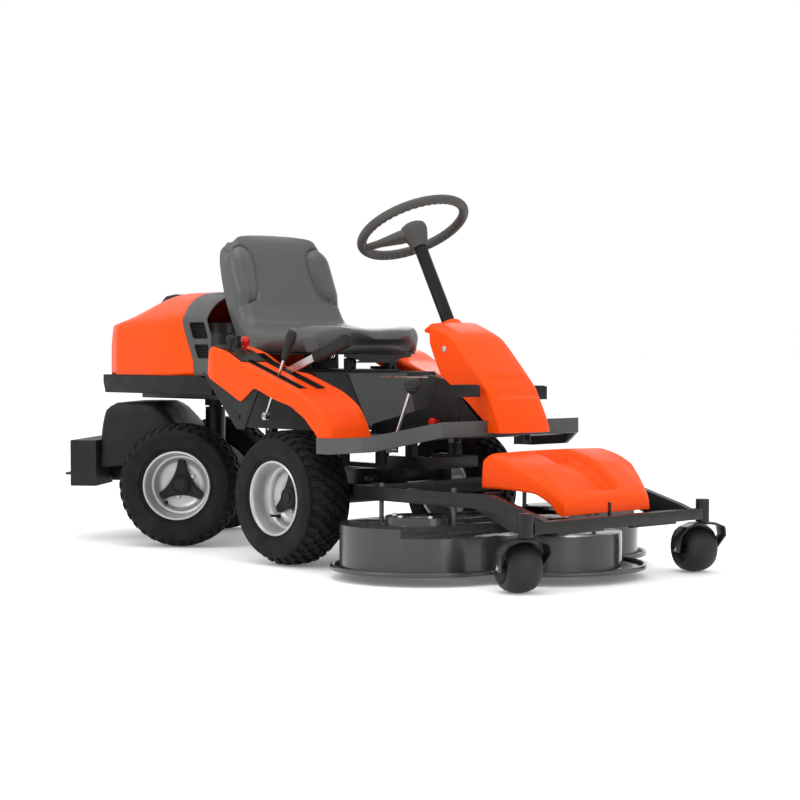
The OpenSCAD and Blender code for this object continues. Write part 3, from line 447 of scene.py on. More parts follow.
def tyre_mesh():
    """Turf tyre with its axle along Z: a smooth carcass, staggered crown blocks and shoulder lugs."""
    base_r = WHEEL_R - 8

    def surface(z):
        """Radius of the carcass under the tread at height z."""
        return base_r - 9 * smooth_step(abs(z), 38, 66) - 0.0018 * z * z

    side = [(RIM_R, TYRE_HALF_W - 16), (RIM_R + 5, TYRE_HALF_W - 8), (RIM_R + 10, TYRE_HALF_W - 9),
            (RIM_R + 14, TYRE_HALF_W - 4), (RIM_R + 30, TYRE_HALF_W - 1), (RIM_R + 48, TYRE_HALF_W - 0.5),
            (RIM_R + 56, TYRE_HALF_W - 2.5), (RIM_R + 60, TYRE_HALF_W - 2), (WHEEL_R - 24, TYRE_HALF_W - 7),
            (surface(66), 66)]
    crown = [(surface(z), z) for z in (55, 40, 20, 0, -20, -40, -55)]
    profile = side + crown + [(r, -z) for r, z in reversed(side)]
    carcass = lathe(profile, 96)

    tread = bmesh.new()
    pitch = 2 * pi / TREAD_PITCHES

    def lug(angle, z0, z1, arc, skew, rise):
        """A block from z0 to z1 across the tread, arc mm long, leaning by skew mm, with tapered flanks."""
        steps = 4
        rings = []
        for k in range(steps + 1):
            z = z0 + (z1 - z0) * k / steps
            turn = angle + skew * (k / steps - 0.5) / base_r
            low = surface(z) - 3 if abs(z) <= 66 else surface(66) - 3 - 1.5 * (abs(z) - 66)
            high = low + 3 + rise
            ends = 0.86 if k in (0, steps) else 1.0
            foot, top = arc / 2 / base_r, arc / 2 / base_r * 0.82
            high = min(WHEEL_R, high - (1.2 if ends < 1 else 0))
            rings.append([(low * cos(turn + a), low * sin(turn + a), z) for a in (-foot, foot)]
                         + [(high * cos(turn + a), high * sin(turn + a), z) for a in (top * ends,
                                                                                      -top * ends)])
        part = loft(rings)
        mesh = bpy.data.meshes.new("lug")
        part.to_mesh(mesh)
        part.free()
        tread.from_mesh(mesh)
        bpy.data.meshes.remove(mesh)

    for i in range(TREAD_PITCHES):
        for sign in (-1, 1):
            here = (i + (0.5 if sign > 0 else 0)) * pitch
            lug(here, sign * 3, sign * 25, 23, sign * 9, 8)
            lug(here + pitch / 2, sign * 24, sign * 46, 22, sign * 9, 8.5)
            lug(here, sign * 47, sign * 75, 21, sign * 5, 7)
    bevelled(tread, 1.3, 1, 40)
    return to_mesh("tyre", joined(carcass, tread), Matrix.Scale(MM, 4))


def rim_mesh():
    """Pressed wheel: rolled edge, deep barrel, a step ring and a dished disc with its bolt ring."""
    w = TYRE_HALF_W
    profile = [(20, -14), (40, -14), (92, -9), (RIM_R - 8, -w + 4), (RIM_R - 0.5, -w + 2),
               (RIM_R - 0.5, w - 18),
               (RIM_R + 1, w - 13), (RIM_R + 0.5, w - 10), (RIM_R - 2, w - 8.5), (RIM_R - 5, w - 9),
               (RIM_R - 8, w - 13), (RIM_R - 10, w - 20), (RIM_R - 11, w - 40), (RIM_R - 12, w - 52),
               (RIM_R - 14, 24), (RIM_R - 17, 19), (RIM_R - 21, 18), (RIM_R - 25, 15), (RIM_R - 28, 4),
               (RIM_R - 32, -3), (RIM_R - 38, -7), (70, -9), (62, -12), (52, -12), (44, -15.5), (34, -15.5),
               (20, -15.5)]
    bm = lathe(profile, 96)
    bolts = []
    for i in range(5):
        turn = 2 * pi * (i + 0.5) / 5
        bolt = lathe([(0, -13), (8, -13), (8, -8), (6.5, -6), (0, -6)], 6, closed=False)
        bolt.transform(Matrix.Translation((44 * cos(turn), 44 * sin(turn), 0)))
        bolts.append(bolt)
    return to_mesh("rim", joined(bm, *bolts), Matrix.Scale(MM, 4))


def valve_mesh():
    """Rubber valve stem with its cap, leaning out of the disc."""
    stem = tube([(0, 0, 2), (0, 0, 8), (0, 1, 20), (0, 3, 27), (0, 3.4, 29), (0, 5, 38)],
                [6, 5.2, 3.6, 3.2, 4.2, 4.0], 14)
    return to_mesh("valve", bevelled(stem, 0.6, 2), Matrix.Translation((0, -0.078,
                                                                        0.004)) @ Matrix.Scale(MM, 4))


def cap_mesh():
    """Three-armed cap: arms that narrow outwards from a raised round hub."""
    def star(z, grow):
        points = []
        for arm in (90, 210, 330):
            a = radians(arm)
            for along, across in ((30, -25), (52, -17), (80, -12), (87, -9), (87, 9), (80, 12), (52, 17),
                                  (30, 25)):
                along += grow
                across *= 1 + grow / 30
                points.append((along * cos(a) - across * sin(a), along * sin(a) + across * cos(a), z(along)))
        return points
    body = loft([star(lambda r: -10, 0), star(lambda r: -2 + 6 * smooth_step(r, 80, 30), 0),
                 star(lambda r: 2 + 10 * smooth_step(r, 70, 25), -4)])
    bevelled(body, 2, 2)
    hub = lathe([(0, -8), (31, -8), (33, 4), (32, 14), (29, 19), (24, 22), (23, 20), (18, 20),
                 (17, 23.5), (0, 24)],
                48, closed=False)
    return to_mesh("cap", joined(body, hub), Matrix.Scale(MM, 4))


def build_wheels():
    tyre, rim, valve, cap = tyre_mesh(), rim_mesh(), valve_mesh(), cap_mesh()
    # The turns at rest put one arm of each cap up and the valve at the lower left, as seen from outside
    for end, heading in (("front", 0), ("rear", STEER_TURN)):
        for side, s in SIDES:
            name = f"{end}_{side}"
            # Axle along Z with the wheel's outer side up, laid over to its side of the machine
            place = (Matrix.Translation(middle(f"tyre_{name}")) @ Matrix.Rotation(heading, 4, "Z")
                     @ Matrix.Rotation(-s * pi / 2, 4, "X"))
            body = f"wheel_{name}"
            add_piece(f"tyre_{name}_tread", tyre, body, "tyre_rubber", [f"tyre_{name}"], place=place,
                      crease=32)
            add_piece(f"rim_{name}_pressing", rim, body, "rim_paint", [f"rim_{name}"], place=place)
            up = Matrix.Rotation(pi if s > 0 else 0, 4, "Z")
            add_piece(f"cap_{name}_star", cap, body, "dark_plastic", [f"cap_{name}"], place=place @ up,
                      crease=30)
            add_piece(f"valve_{name}", valve, body, "hard_rubber",
                      place=place @ Matrix.Rotation(-0.7, 4, "Z"))


# ---------------------------------------------------------------- seat
SEAT_HALF = 250
# Width of the back, as a share of the cushion's
BACK_SHARE = 0.85
# Stations from the front of the cushion round to the top of the back: how far along, then the middle of the
# top skin (x, z), the skin's outward direction in degrees from +X towards +Z, and the half width
SEAT_STATIONS = (
    (0.00, 34, 676, 8, 0.22), (0.05, 28, 698, 40, 0.42), (0.10, 8, 714, 70, 0.62),
    (0.17, -30, 719, 86, 0.80),
    (0.25, -85, 712, 93, 0.92), (0.34, -150, 704, 93, 0.97), (0.43, -235, 700, 86, 0.98),
    (0.50, -318, 706, 74, 0.96), (0.57, -382, 730, 48, 0.89), (0.63, -420, 778, 24, 0.85),
    (0.70, -446, 838, 19, 0.85), (0.78, -472, 900, 21, 0.85), (0.86, -494, 957, 24, 0.84),
    (0.90, -506, 985, 27, 0.825), (0.94, -518, 1006, 34, 0.80), (0.97, -530, 1020, 48, 0.75),
    (1.00, -552, 1028, 76, 0.68))


def build_seat():
    """One-piece bucket seat: a crowned cushion, and a back with a long bolster behind a crease each side."""
    rows, across = 150, 120

    def station(u):
        for a, b in zip(SEAT_STATIONS, SEAT_STATIONS[1:]):
            if u <= b[0]:
                t = (u - a[0]) / (b[0] - a[0])
                return [p + (q - p) * t for p, q in zip(a[1:], b[1:])]
        return list(SEAT_STATIONS[-1][1:])

    def smoothed(u):
        """The station at u averaged over its neighbours, so that the skin has no corners."""
        spread = [station(min(1, max(0, u + d))) for d in (-0.03, -0.015, 0, 0.015, 0.03)]
        return [sum(values) / 5 for values in zip(*spread)]

    def relief(u, v):
        """Height of the skin above its middle line; v runs from -1 to 1 across the seat."""
        a = abs(v) * station(u)[3]
        rise = 0.0
        cushion = 1 - smooth_step(u, 0.50, 0.60)
        back = smooth_step(u, 0.56, 0.66)
        # The cushion's sides rise a little behind the thighs; the middle is dished for the driver
        sides = 13 * smooth_step(a, 0.35, 0.80) * smooth_step(u, 0.12, 0.3)
        rise += cushion * (sides - 4 * exp(-(v / 0.4) ** 2))
        # Bolsters of the back, each behind a crease that runs in from the rim, down, and out again below
        crease = between(u, ((0.64, 1.02), (0.655, 0.80), (0.67, 0.66), (0.70, 0.60), (0.78, 0.55),
                             (0.86, 0.56), (0.90, 0.62), (0.935, 0.74), (0.96, 0.90), (0.98, 1.05)))
        ends = smooth_step(u, 0.64, 0.70) * (1 - smooth_step(u, 0.83, 0.95))
        rise += 13 * ends * smooth_step(a / BACK_SHARE, crease, crease + 0.11)
        rise -= 8 * exp(-((a / BACK_SHARE - crease) / 0.026) ** 2) * smooth_step(u, 0.64, 0.655)
        rise += back * 9 * smooth_step(a / BACK_SHARE, 0.55, 0.95) * (1 - smooth_step(u, 0.88, 0.98))
        # Seam over each side of the cushion, and a shallow channel where the cushion meets the back
        if a > 0.62:
            rise -= 7 * exp(-((u - 0.345 - 0.03 * (1 - a)) / 0.011) ** 2) * smooth_step(a, 0.62, 0.85)
        rise -= 5 * exp(-((u - 0.575) / 0.02) ** 2) * (1 - smooth_step(a, 0.6, 0.9))
        # Welt near the front edge
        rise -= 3.2 * exp(-((u - 0.105) / 0.010) ** 2) * smooth_step(a, 0.3, 0.8)
        return rise

    def thickness(u):
        return between(u, ((0, 34), (0.05, 60), (0.12, 84), (0.3, 76), (0.5, 70), (0.6, 78), (0.7, 80),
                           (0.86, 66), (0.95, 50), (1, 30)))

    rings = []
    for i in range(rows + 1):
        u = i / rows
        x, z, tilt, width = smoothed(u)
        out = Vector((cos(radians(tilt)), 0, sin(radians(tilt))))
        along = Vector((-out.z, 0, out.x)) if u > 0.5 else Vector((0, 0, 1))
        centre = Vector((x, 0, z))
        depth = thickness(u)
        half = SEAT_HALF * width
        roll = min(34, depth * 0.55)
        ring = []
        for k in range(across + 1):
            v = -1 + 2 * k / across
            # Towards its edge the skin rolls over the side
            edge = max(0.0, (abs(v) - 0.80) / 0.20)
            y = half * (v if edge == 0 else (1 if v > 0 else -1) * (0.80 + 0.20 * sin(edge * pi / 2)))
            drop = roll * (1 - cos(edge * pi / 2)) * 1.25
            # The top edge of the back is an arch: it runs lower towards the corners
            arch = 58 * abs(y / SEAT_HALF) ** 2.6 * smooth_step(u, 0.80, 1.0) / 0.62
            ring.append(centre + Vector((0, y, 0)) + out * (relief(u, v) - drop) - along * arch)
        # Flat underside, drawn in from the sides
        for k in range(across // 3 + 1):
            v = 1 - 2 * k / (across // 3)
            ring.append(centre + Vector((0, half * 0.965 * v, 0)) - out * (depth - 6 * (1 - v * v)))
        rings.append(ring)
    bm = loft(rings)
    # Nothing of the cushion reaches below the pan it is screwed to
    floor_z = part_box("seat_pan")[1].z / MM + 0.4
    for vert in bm.verts:
        if vert.co.z < floor_z:
            vert.co.z = floor_z
    bmesh.ops.remove_doubles(bm, verts=bm.verts, dist=0.02)
    piece = add_piece("seat_upholstery", to_mesh("seat", bm, TO_AXLE), "seat", "seat_vinyl",
                      ["seat_cushion"], crease=80)
    # Moulded shell below the upholstery, a thin dark lip all round
    outline = [(2, -120), (2, 120), (-110, 214), (-330, 222), (-372, 200), (-372, -200), (-330, -222),
               (-110, -214)]
    shell = prism(rounded(outline, 40, 6), floor_z - 4.4, floor_z - 0.5, axis="Z")
    shell.transform(TO_AXLE)
    add_piece("seat_shell_lip", to_mesh("lip", bevelled(shell, 0.0015, 2)), "seat", "black_plastic")


# ---------------------------------------------------------------- steering wheel
def build_steering_wheel():
    """Foam-covered rim with finger grips on its inner side, two broad spokes and a deep hub."""
    joint = joint_named("steering_turn")
    axis = Vector(joint["axis"]).normalized()
    low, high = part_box("steering_wheel")
    lean = acos(axis.z)
    # The rim's middle from the CAD wheel's own box: the rim reaches ring * cos(lean) + tube along X
    tube_r = 15
    ring = (high.y - low.y) / 2 / MM - tube_r
    top_z = high.z / MM - tube_r - ring * sin(lean)
    top_x = (low.x - AXLE_X) / MM + tube_r + ring * cos(lean)
    place = TO_AXLE @ Matrix.Translation((top_x, 0, top_z)) @ Matrix.Rotation(-lean, 4, "Y")

    segments, sides, grips = 288, 20, 48
    rings = []
    for i in range(segments):
        turn = 2 * pi * i / segments
        wave = 0.5 - 0.5 * cos(turn * grips)
        points = []
        for k in range(sides):
            a = 2 * pi * k / sides
            inner = max(0.0, cos(a - radians(215)))
            r = tube_r - 2.6 * wave * inner ** 1.5
            points.append(((ring + r * cos(a)) * cos(turn), (ring + r * cos(a)) * sin(turn), r * sin(a)))
        rings.append(points)
    rings.append(rings[0])
    rim = loft(rings, closed_ends=False)
    bmesh.ops.remove_doubles(rim, verts=rim.verts, dist=0.001)

    parts = [rim]
    for sign in (-1, 1):
        stations = []
        for t in (0, 0.15, 0.35, 0.6, 0.85, 1.0):
            along = 26 + (ring - 22) * t
            wide = 30 - 13 * smooth_step(t, 0, 0.7) + 3 * smooth_step(t, 0.8, 1)
            deep = 17 - 8 * smooth_step(t, 0, 0.8)
            mid = -14 + 10 * t
            outline = rounded([(-wide, mid - deep), (wide, mid - deep), (wide * 0.8, mid + deep * 0.8),
                               (-wide * 0.8, mid + deep * 0.8)], 9, 3)
            stations.append([(along, y, z) for y, z in outline])
        spoke = loft(stations)
        spoke.transform(Matrix.Rotation(radians(180 + sign * 42), 4, "Z"))
        parts.append(spoke)
    hub = lathe([(0, -70), (24, -70), (27, -66), (31, -48), (37, -30), (41, -14), (41, -4), (38, 4), (30, 9),
                 (18, 11.5), (0, 12.5)], 56, closed=False)
    shaft = plug(11, -500, -66, 24)
    add_piece("steering_wheel_foam", to_mesh("wheel", joined(*parts, hub), place), "steering",
              "dark_plastic", ["steering_wheel"], material=WHEEL_SKIN, crease=50)
    add_piece("steering_shaft", to_mesh("shaft", shaft, place), "steering", "bare_steel")


# ---------------------------------------------------------------- moulded skins
# Walls of the orange shells, of the front and rear covers and of the grille
WALL, COVER_WALL, GRILLE_WALL = 3.6, 3.5, 4


def smooth_run(outline, count, rounds=2):
    """An open outline with its corners cut rounds times, as count evenly spaced points."""
    points = [Vector(p) for p in outline]
    for _ in range(rounds):
        cut = [points[0]]
        for a, b in zip(points, points[1:]):
            cut += [a * 0.75 + b * 0.25, a * 0.25 + b * 0.75]
        points = cut + [points[-1]]
    lengths = [0.0]
    for a, b in zip(points, points[1:]):
        lengths.append(lengths[-1] + (b - a).length)
    made, j = [], 1
    for i in range(count):
        want = lengths[-1] * i / (count - 1)
        while j < len(lengths) - 1 and lengths[j] < want:
            j += 1
        t = (want - lengths[j - 1]) / max(1e-9, lengths[j] - lengths[j - 1])
        made.append(points[j - 1].lerp(points[j], min(1, t)))
    return made


def skin(section, start, end, rows, roll=0.0, core=(0, 600), power=1.4):
    """Open moulded sheet. section(x) gives its (y, z) points across the machine; start(z) and end(z) are the
    x of its two edges. With a roll, the sheet curls in towards core over that distance at its start and is
    closed there."""
    rings = []
    count = len(section((start(650) + end(650)) / 2))
    sections = {}

    def cut(x):
        key = round(x * 2)
        if key not in sections:
            sections[key] = section(key / 2)
        return sections[key]

    for i in range(rows + 1):
        t = (i / rows) ** power
        ring = []
        for k in range(count):
            x = start(650) * (1 - t) + end(650) * t
            for _ in range(5):
                y, z = cut(x)[k]
                x = start(z) * (1 - t) + end(z) * t
            p = Vector((y, z))
            ahead = x - start(z)
            if ahead < roll:
                inset = roll - sqrt(max(0, roll ** 2 - (roll - ahead) ** 2))
                p += (Vector(core) - p).normalized() * inset
            ring.append((x, p.x, p.y))
        rings.append(ring)
    bm = loft(rings, closed_ends=False, closed_rings=False)
    if roll:
        bm.verts.ensure_lookup_table()
        bm.faces.new(bm.verts[:count])
    bmesh.ops.remove_doubles(bm, verts=bm.verts, dist=0.05)
    return bm


def both_ways(half):
    """A half outline (y from the right side up to the middle) and its mirror image, as one run."""
    right = [(-p[0], p[1]) for p in half]
    return right + [(-y, z) for y, z in right[-2::-1]]


def applied(piece):
    """Turns a piece's modifiers into its mesh."""
    bpy.context.view_layer.update()
    baked = bpy.data.meshes.new_from_object(piece.evaluated_get(bpy.context.evaluated_depsgraph_get()))
    piece.modifiers.clear()
    piece.data = baked
    return piece


def pierced(piece, *cutters):
    """Cuts the shapes in axle millimetres out of a piece."""
    for shape in cutters:
        cutter = bpy.data.objects.new("cutter", to_mesh("cutter", shape, TO_AXLE))
        bpy.context.scene.collection.objects.link(cutter)
        modifier = piece.modifiers.new("cut", "BOOLEAN")
        modifier.operation = "DIFFERENCE"
        modifier.object = cutter
        modifier.solver = "EXACT"
        applied(piece)
        bpy.data.objects.remove(cutter)
    piece.data.shade_smooth()
    piece.data.set_sharp_from_angle(angle=radians(40))
    return piece


# ---------------------------------------------------------------- hood and grille
HOOD_FOOT = 562
HOOD_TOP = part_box("hood_shell")[1].z / MM - 1


def hood_section(x):
    """Outline of the hood at x: upright sides up to a crease, then a top crowned from crease to crease."""
    rear = smooth_step(x, -1116, -900)
    belly_half = 254 + 31 * smooth_step(x, -1108, -1010) - 16 * smooth_step(x, -780, -560)
    crease_z = 732 + 14 * smooth_step(x, -1060, -650)
    top_z = crease_z + 16 + (HOOD_TOP + 3 - crease_z - 16) * rear
    lift = top_z - crease_z
    half = [(belly_half + 2, HOOD_FOOT), (belly_half + 3, HOOD_FOOT + 34), (belly_half + 2, 690),
            (belly_half - 2, crease_z - 12), (belly_half - 5, crease_z),
            (belly_half - 20, crease_z + 0.16 * lift),
            (205, crease_z + 0.52 * lift), (128, crease_z + 0.86 * lift), (60, crease_z + 0.98 * lift),
            (0, top_z)]
    return both_ways([tuple(p) for p in smooth_run(half, 34)])


def hood_y(x, z):
    """Half width of the hood's skin at a place."""
    run = [(-y, h) for y, h in hood_section(x)[:34]]
    for (y0, z0), (y1, z1) in zip(run, run[1:]):
        if z0 <= z <= z1:
            return y0 + (y1 - y0) * (z - z0) / (z1 - z0)
    return run[-1][0]


def seam_x(z):
    """Where the seam between the hood and the grille lies at height z."""
    return between(z, ((500, -590), (614, -606), (650, -622), (748, -668), (766, -676), (850, -790)))


def build_hood():
    def rear(z):
        return -1108 + 8 * smooth_step(z, 640, 730) + 60 * smooth_step(z, 728, 830)
    bm = skin(hood_section, rear, lambda z: seam_x(z) - 0.8, 60, roll=18, core=(0, 640))
    piece = add_piece("hood_skin", to_mesh("hood", bm, TO_AXLE), "hood", "orange_shell", ["hood_shell"],
                      crease=50)
    thickened(piece, WALL)
    # Dark handle at the rear of its top
    bow = tube([(-1034, -84, 772), (-1044, -74, 800), (-1047, -52, 822), (-1048, -20, 829), (-1048, 20, 829),
                (-1047, 52, 822), (-1044, 74, 800), (-1034, 84, 772)], [15, 14, 13, 12, 12, 13, 14, 15], 18)
    bow.transform(TO_AXLE)
    add_piece("hood_handle_grip", to_mesh("handle", bow), "hood", "dark_plastic", ["hood_handle"], crease=60)


# Each window's foot and top, and how far its rear edge stands in from the seam
GRILLE_WINDOWS = ((618, 664, 26), (682, 736, 30))


def build_grille():
    """Dark frame in front of the hood, with hexagonal mesh in two windows each side and slots on top."""
    def front(z):
        """Front edge, which follows the seat back's rear side with room for the seat to slide."""
        return between(z, ((562, -508), (690, -512), (800, -578), (843, -596)))
    bm = skin(hood_section, lambda z: seam_x(z) + 0.6, front, 24, power=1.0)
    piece = add_piece("grille_frame", to_mesh("grille", bm, TO_AXLE), "hood", "dark_plastic",
                      ["hood_grille"], material=SATIN, crease=50)
    thickened(piece, GRILLE_WALL)
    applied(piece)
    cutters = []
    cells = bmesh.new()
    pitch, wall, depth = 11.0, 1.5, 3.0
    for z0, z1, inset in GRILLE_WINDOWS:
        corners = [(seam_x(z0) + inset, z0), (front(z0) - 14, z0), (front(z1) - 14, z1),
                   (seam_x(z1) + inset, z1)]
        outline = rounded(corners, 9, 3)
        for s in (-1, 1):
            cutters.append(prism(outline, min(s * 140, s * 330), max(s * 140, s * 330)))
        rows = int((z1 - z0 + 2 * pitch) / (pitch * 0.866))
        columns = int((corners[1][0] - corners[3][0] + 60) / pitch)
        for s in (-1, 1):
            for j in range(rows):
                for i in range(columns):
                    x = corners[3][0] - 30 + (i + 0.5 * (j % 2)) * pitch
                    z = z0 - pitch + j * pitch * 0.866
                    if not (seam_x(z) + inset - 8 < x < front(z) - 8 and z0 - 6 < z < z1 + 6):
                        continue
                    loops = []
                    for r, back in ((pitch * 0.577, 5), (pitch * 0.577 - wall, 5),
                                    (pitch * 0.577 - wall, 5 + depth)):
                        loops.append([cells.verts.new((x + r * sin(pi / 3 * k),
                                                       s * (hood_y(x, z + r * cos(pi / 3 * k)) - back),
                                                       z + r * cos(pi / 3 * k))) for k in range(6)])
                    for a, b in zip(loops, loops[1:]):
                        for k in range(6):
                            cells.faces.new((a[k], a[(k + 1) % 6], b[(k + 1) % 6], b[k]))
    # Slots in the top, across the machine
    for i in range(5):
        x0 = -700 + i * 34
        for s in (-1, 1):
            cutters.append(prism(rounded([(x0, s * 30), (x0 + 16, s * 30), (x0 + 16, s * 118),
                                          (x0, s * 118)], 7, 3),
                                 780, 900, axis="Z"))
    pierced(piece, joined(*cutters))
    bmesh.ops.remove_doubles(cells, verts=cells.verts, dist=0.2)
    mesh = to_mesh("grille_mesh", cells, TO_AXLE)
    add_piece("grille_hex_mesh", mesh, "hood", "black_plastic", crease=30)


# ---------------------------------------------------------------- covers that follow a bent side outline
def spline(points, steps):
    """A smooth run through points of any length, with steps spans between each two."""
    made = []
    last = len(points) - 1
    for i in range(last):
        p0, p1, p2, p3 = (points[max(0, i - 1)], points[i], points[i + 1], points[min(last, i + 2)])
        for k in range(steps):
            t = k / steps
            # Catmull-Rom pulled half way to the straight line, which keeps the moulding's flats flat
            made.append([b + (c - b) * t + 0.5 * ((c - a) * 0.5 * (t - 2 * t * t + t ** 3)
                                                  + (d - b) * 0.5 * (t ** 3 - t * t)
                                                  + (b - c) * (t - 3 * t * t + 2 * t ** 3))
                         for a, b, c, d in zip(p0, p1, p2, p3)])
    made.append(list(points[last]))
    return made


def band(stations, radius, relief=None, skirts=(1, 1), count=61, steps=6, end_roll=0, cap_start=False,
         cap_end=False):
    """A skin bent along its stations, each (x, z, foot x, foot z, y low, y high): a flat across from y low to
    y high with rounded edges, and a skirt down each side towards the foot. relief(x, y) lifts the flat."""
    fine = spline(stations, steps)
    start = Vector(fine[0][:2])
    rings = []
    for x, z, foot_x, foot_z, low, high in fine:
        top, foot = Vector((x, z)), Vector((foot_x, foot_z))
        length = max(0.5, (top - foot).length)
        reach = (foot - top).length
        down = (foot - top) / reach if reach > 1e-6 else Vector((0, -1))
        travelled = (top - start).length
        inset = 0.0
        if travelled < end_roll:
            inset = end_roll - sqrt(end_roll ** 2 - (end_roll - travelled) ** 2)
        low, high = low + inset, high - inset
        outline = rounded([(low, length * skirts[0]), (low, 0), (high, 0), (high, length * skirts[1])],
                          radius, 5)[6:-6]
        outline = [(low, length * skirts[0])] + outline + [(high, length * skirts[1])]
        run = smooth_run(outline, count, 0)
        ring = []
        for y, d in run:
            lift = relief(x, y) * max(0.0, 1 - d / 12) if relief else 0
            place = top + down * (d * 1.0 + 0.35 * inset) - down * lift
            ring.append((place.x, y, place.y))
        rings.append(ring)
    bm = loft(rings, closed_ends=False, closed_rings=False)
    bm.verts.ensure_lookup_table()
    if cap_start:
        bm.faces.new(bm.verts[:count])
    if cap_end:
        bm.faces.new(bm.verts[-count:])
    bmesh.ops.remove_doubles(bm, verts=bm.verts, dist=0.05)
    return bm


FENDER_LINE = ((-345, 654, -361, 577), (-311, 658, -300, 550), (-236, 640, -232, 520),
               (-171, 609, -165, 490),
               (-130, 596, -130, 510), (-95, 585, -95, 530), (-5, 556, -5, 500), (75, 530, 75, 480),
               (120, 514, 105, 464), (160, 494, 140, 445), (205, 462, 168, 420), (236, 425, 190, 402),
               (252, 390.5, 197, 390.5))
FENDER_IN, FENDER_OUT = 255.6, 424
# Lever slots in the right fender: the middle across, half the width, and the two ends along
LIFT_Y, LIFT_HALF, LIFT_ENDS = -300, 15, (-224, 72)
HEIGHT_Y, HEIGHT_HALF, HEIGHT_ENDS = -372, 11, (-186, 68)
KEY_AT, KEY_R = (-292, -330), 10
FILLER_AT, FILLER_R = (-250, 340), 28


def fender_top(x):
    return between(x, [(p[0], p[1]) for p in FENDER_LINE])


def build_fenders():
    """Orange mouldings over the front wheels: lever slots on the right, the filler on the left."""
    for side, s in SIDES:
        y0, y1 = (-FENDER_OUT, -FENDER_IN) if s < 0 else (FENDER_IN, FENDER_OUT)
        stations = [(*p, y0, y1) for p in FENDER_LINE]

        def relief(x, y):
            inner = smooth_step(abs(y), 292, 276)
            edge = smooth_step(abs(y), 398, 412)
            return (11 * inner * smooth_step(x, -90, -20) * (1 - smooth_step(x, 190, 245))
                    + 3.5 * edge * smooth_step(x, -190, -140) * (1 - smooth_step(x, 60, 150)))
        skirts = (1, 0.45) if s < 0 else (0.45, 1)
        bm = band(stations, 20, relief, skirts, steps=7, end_roll=36, cap_start=True)
        piece = add_piece(f"fender_{side}_moulding", to_mesh("fender", bm, TO_AXLE), "chassis",
                          "orange_shell", [f"{side}_fender"], crease=40)
        thickened(piece, WALL)
        applied(piece)
        if s < 0:
            hole = plug(KEY_R, 600, 720, 32)
            hole.transform(Matrix.Translation((*KEY_AT, 0)))
            pierced(piece, block((LIFT_ENDS[0], LIFT_Y - LIFT_HALF, 520),
                                 (LIFT_ENDS[1], LIFT_Y + LIFT_HALF, 720)),
                    joined(block((HEIGHT_ENDS[0], HEIGHT_Y - HEIGHT_HALF, 500),
                                 (HEIGHT_ENDS[1], HEIGHT_Y + HEIGHT_HALF, 720)), hole,
                           block((-275, -404, 600), (-215, -392, 720)),
                           block((-275, -346, 600), (-215, -334, 720))))
        else:
            hole = plug(FILLER_R, 600, 720, 40)
            hole.transform(Matrix.Translation((*FILLER_AT, 0)))
            pierced(piece, hole)
    # Black liners of the two lever slots: thin rails with notches along one side
    for name, y, half, (x0, x1) in (("height", HEIGHT_Y, HEIGHT_HALF, HEIGHT_ENDS),
                                    ("lift", LIFT_Y, LIFT_HALF, LIFT_ENDS)):
        parts = []
        for edge in (-1, 1):
            rings = []
            for i in range(25):
                x = x0 + (x1 - x0) * i / 24
                z = fender_top(x) + 1.4
                a, b = y + edge * (half + 4), y + edge * (half - 1.5)
                rings.append([(x, a, z), (x, b, z), (x, b, z - 16), (x, a, z - 16)])
            parts.append(bevelled(loft(rings), 0.8, 2))
        if name == "height":
            for i in range(15):
                x = x0 + 14 + i * (x1 - x0 - 28) / 14
                z = fender_top(x)
                parts.append(bevelled(block((x - 3.5, y - half - 1, z - 9),
                                            (x + 3.5, y - half + 3.6, z + 1.2)), 0.7, 1))
        for x in (x0, x1):
            z = fender_top(x)
            parts.append(bevelled(block((x - 2.5, y - half - 4, z - 14),
                                        (x + 2.5, y + half + 4, z + 1.4)), 0.8, 2))
        add_piece(f"{name}_slot_liner", to_mesh("liner", joined(*parts), TO_AXLE), "chassis",
                  "black_plastic", crease=30)


def build_column_cover():
    """Tall cover over the column's foot, with a raised shield down its front."""
    half = 105
    line = ((296, 712, 300, 700), (303, 723, 312, 694), (335, 729, 335, 665), (385, 710, 360, 618),
            (425, 692, 386, 572), (446, 678, 400, 562), (480, 645, 425, 545), (525, 599, 460, 520),
            (560, 562, 500, 492), (578, 540, 520, 476), (600, 500, 545, 456), (618, 465, 562, 443),
            (630, 435, 578, 436), (639, 408, 579, 408))
    stations = []
    for x, z, foot_x, foot_z in line:
        wide = half - 26 * smooth_step(z, 690, 728) * smooth_step(x, 345, 300)
        stations.append((x, z, foot_x, foot_z, -wide, wide))

    def relief(x, y):
        shield = smooth_step(abs(y), 80, 73) * smooth_step(x, 340, 352) * (1 - smooth_step(x, 552, 562))
        knee = smooth_step(abs(y), 86, 79) * smooth_step(x, 592, 600)
        return 6 * shield + 6 * knee + 5 * (1 - (y / half) ** 2) - 5
    bm = band(stations, 15, relief, steps=8, cap_start=True, count=101)
    piece = add_piece("column_cover_moulding", to_mesh("column_cover", bm, TO_AXLE), "chassis",
                      "orange_shell", ["column_cover"], crease=40)
    thickened(piece, WALL)
    applied(piece)
    joint = joint_named("steering_turn")
    lean = Matrix.Rotation(-acos(Vector(joint["axis"]).normalized().z), 4, "Y")
    foot = Vector(((joint["pos_m"][0] - AXLE_X) / MM, 0, joint["pos_m"][2] / MM))
    axis = lean @ Vector((0, 0, 1))
    mouth = foot + axis * ((721 - foot.z) / axis.z)
    hole = plug(24, -60, 60, 40)
    hole.transform(Matrix.Translation(mouth) @ lean)
    pierced(piece, hole)
    collar = lathe([(22, -22), (38, -26), (36, -4), (31, 5), (26, 8), (22, 6)], 48)
    collar.transform(Matrix.Translation(mouth) @ lean)
    add_piece("column_collar", to_mesh("collar", collar, TO_AXLE), "chassis", "orange_shell", crease=50)


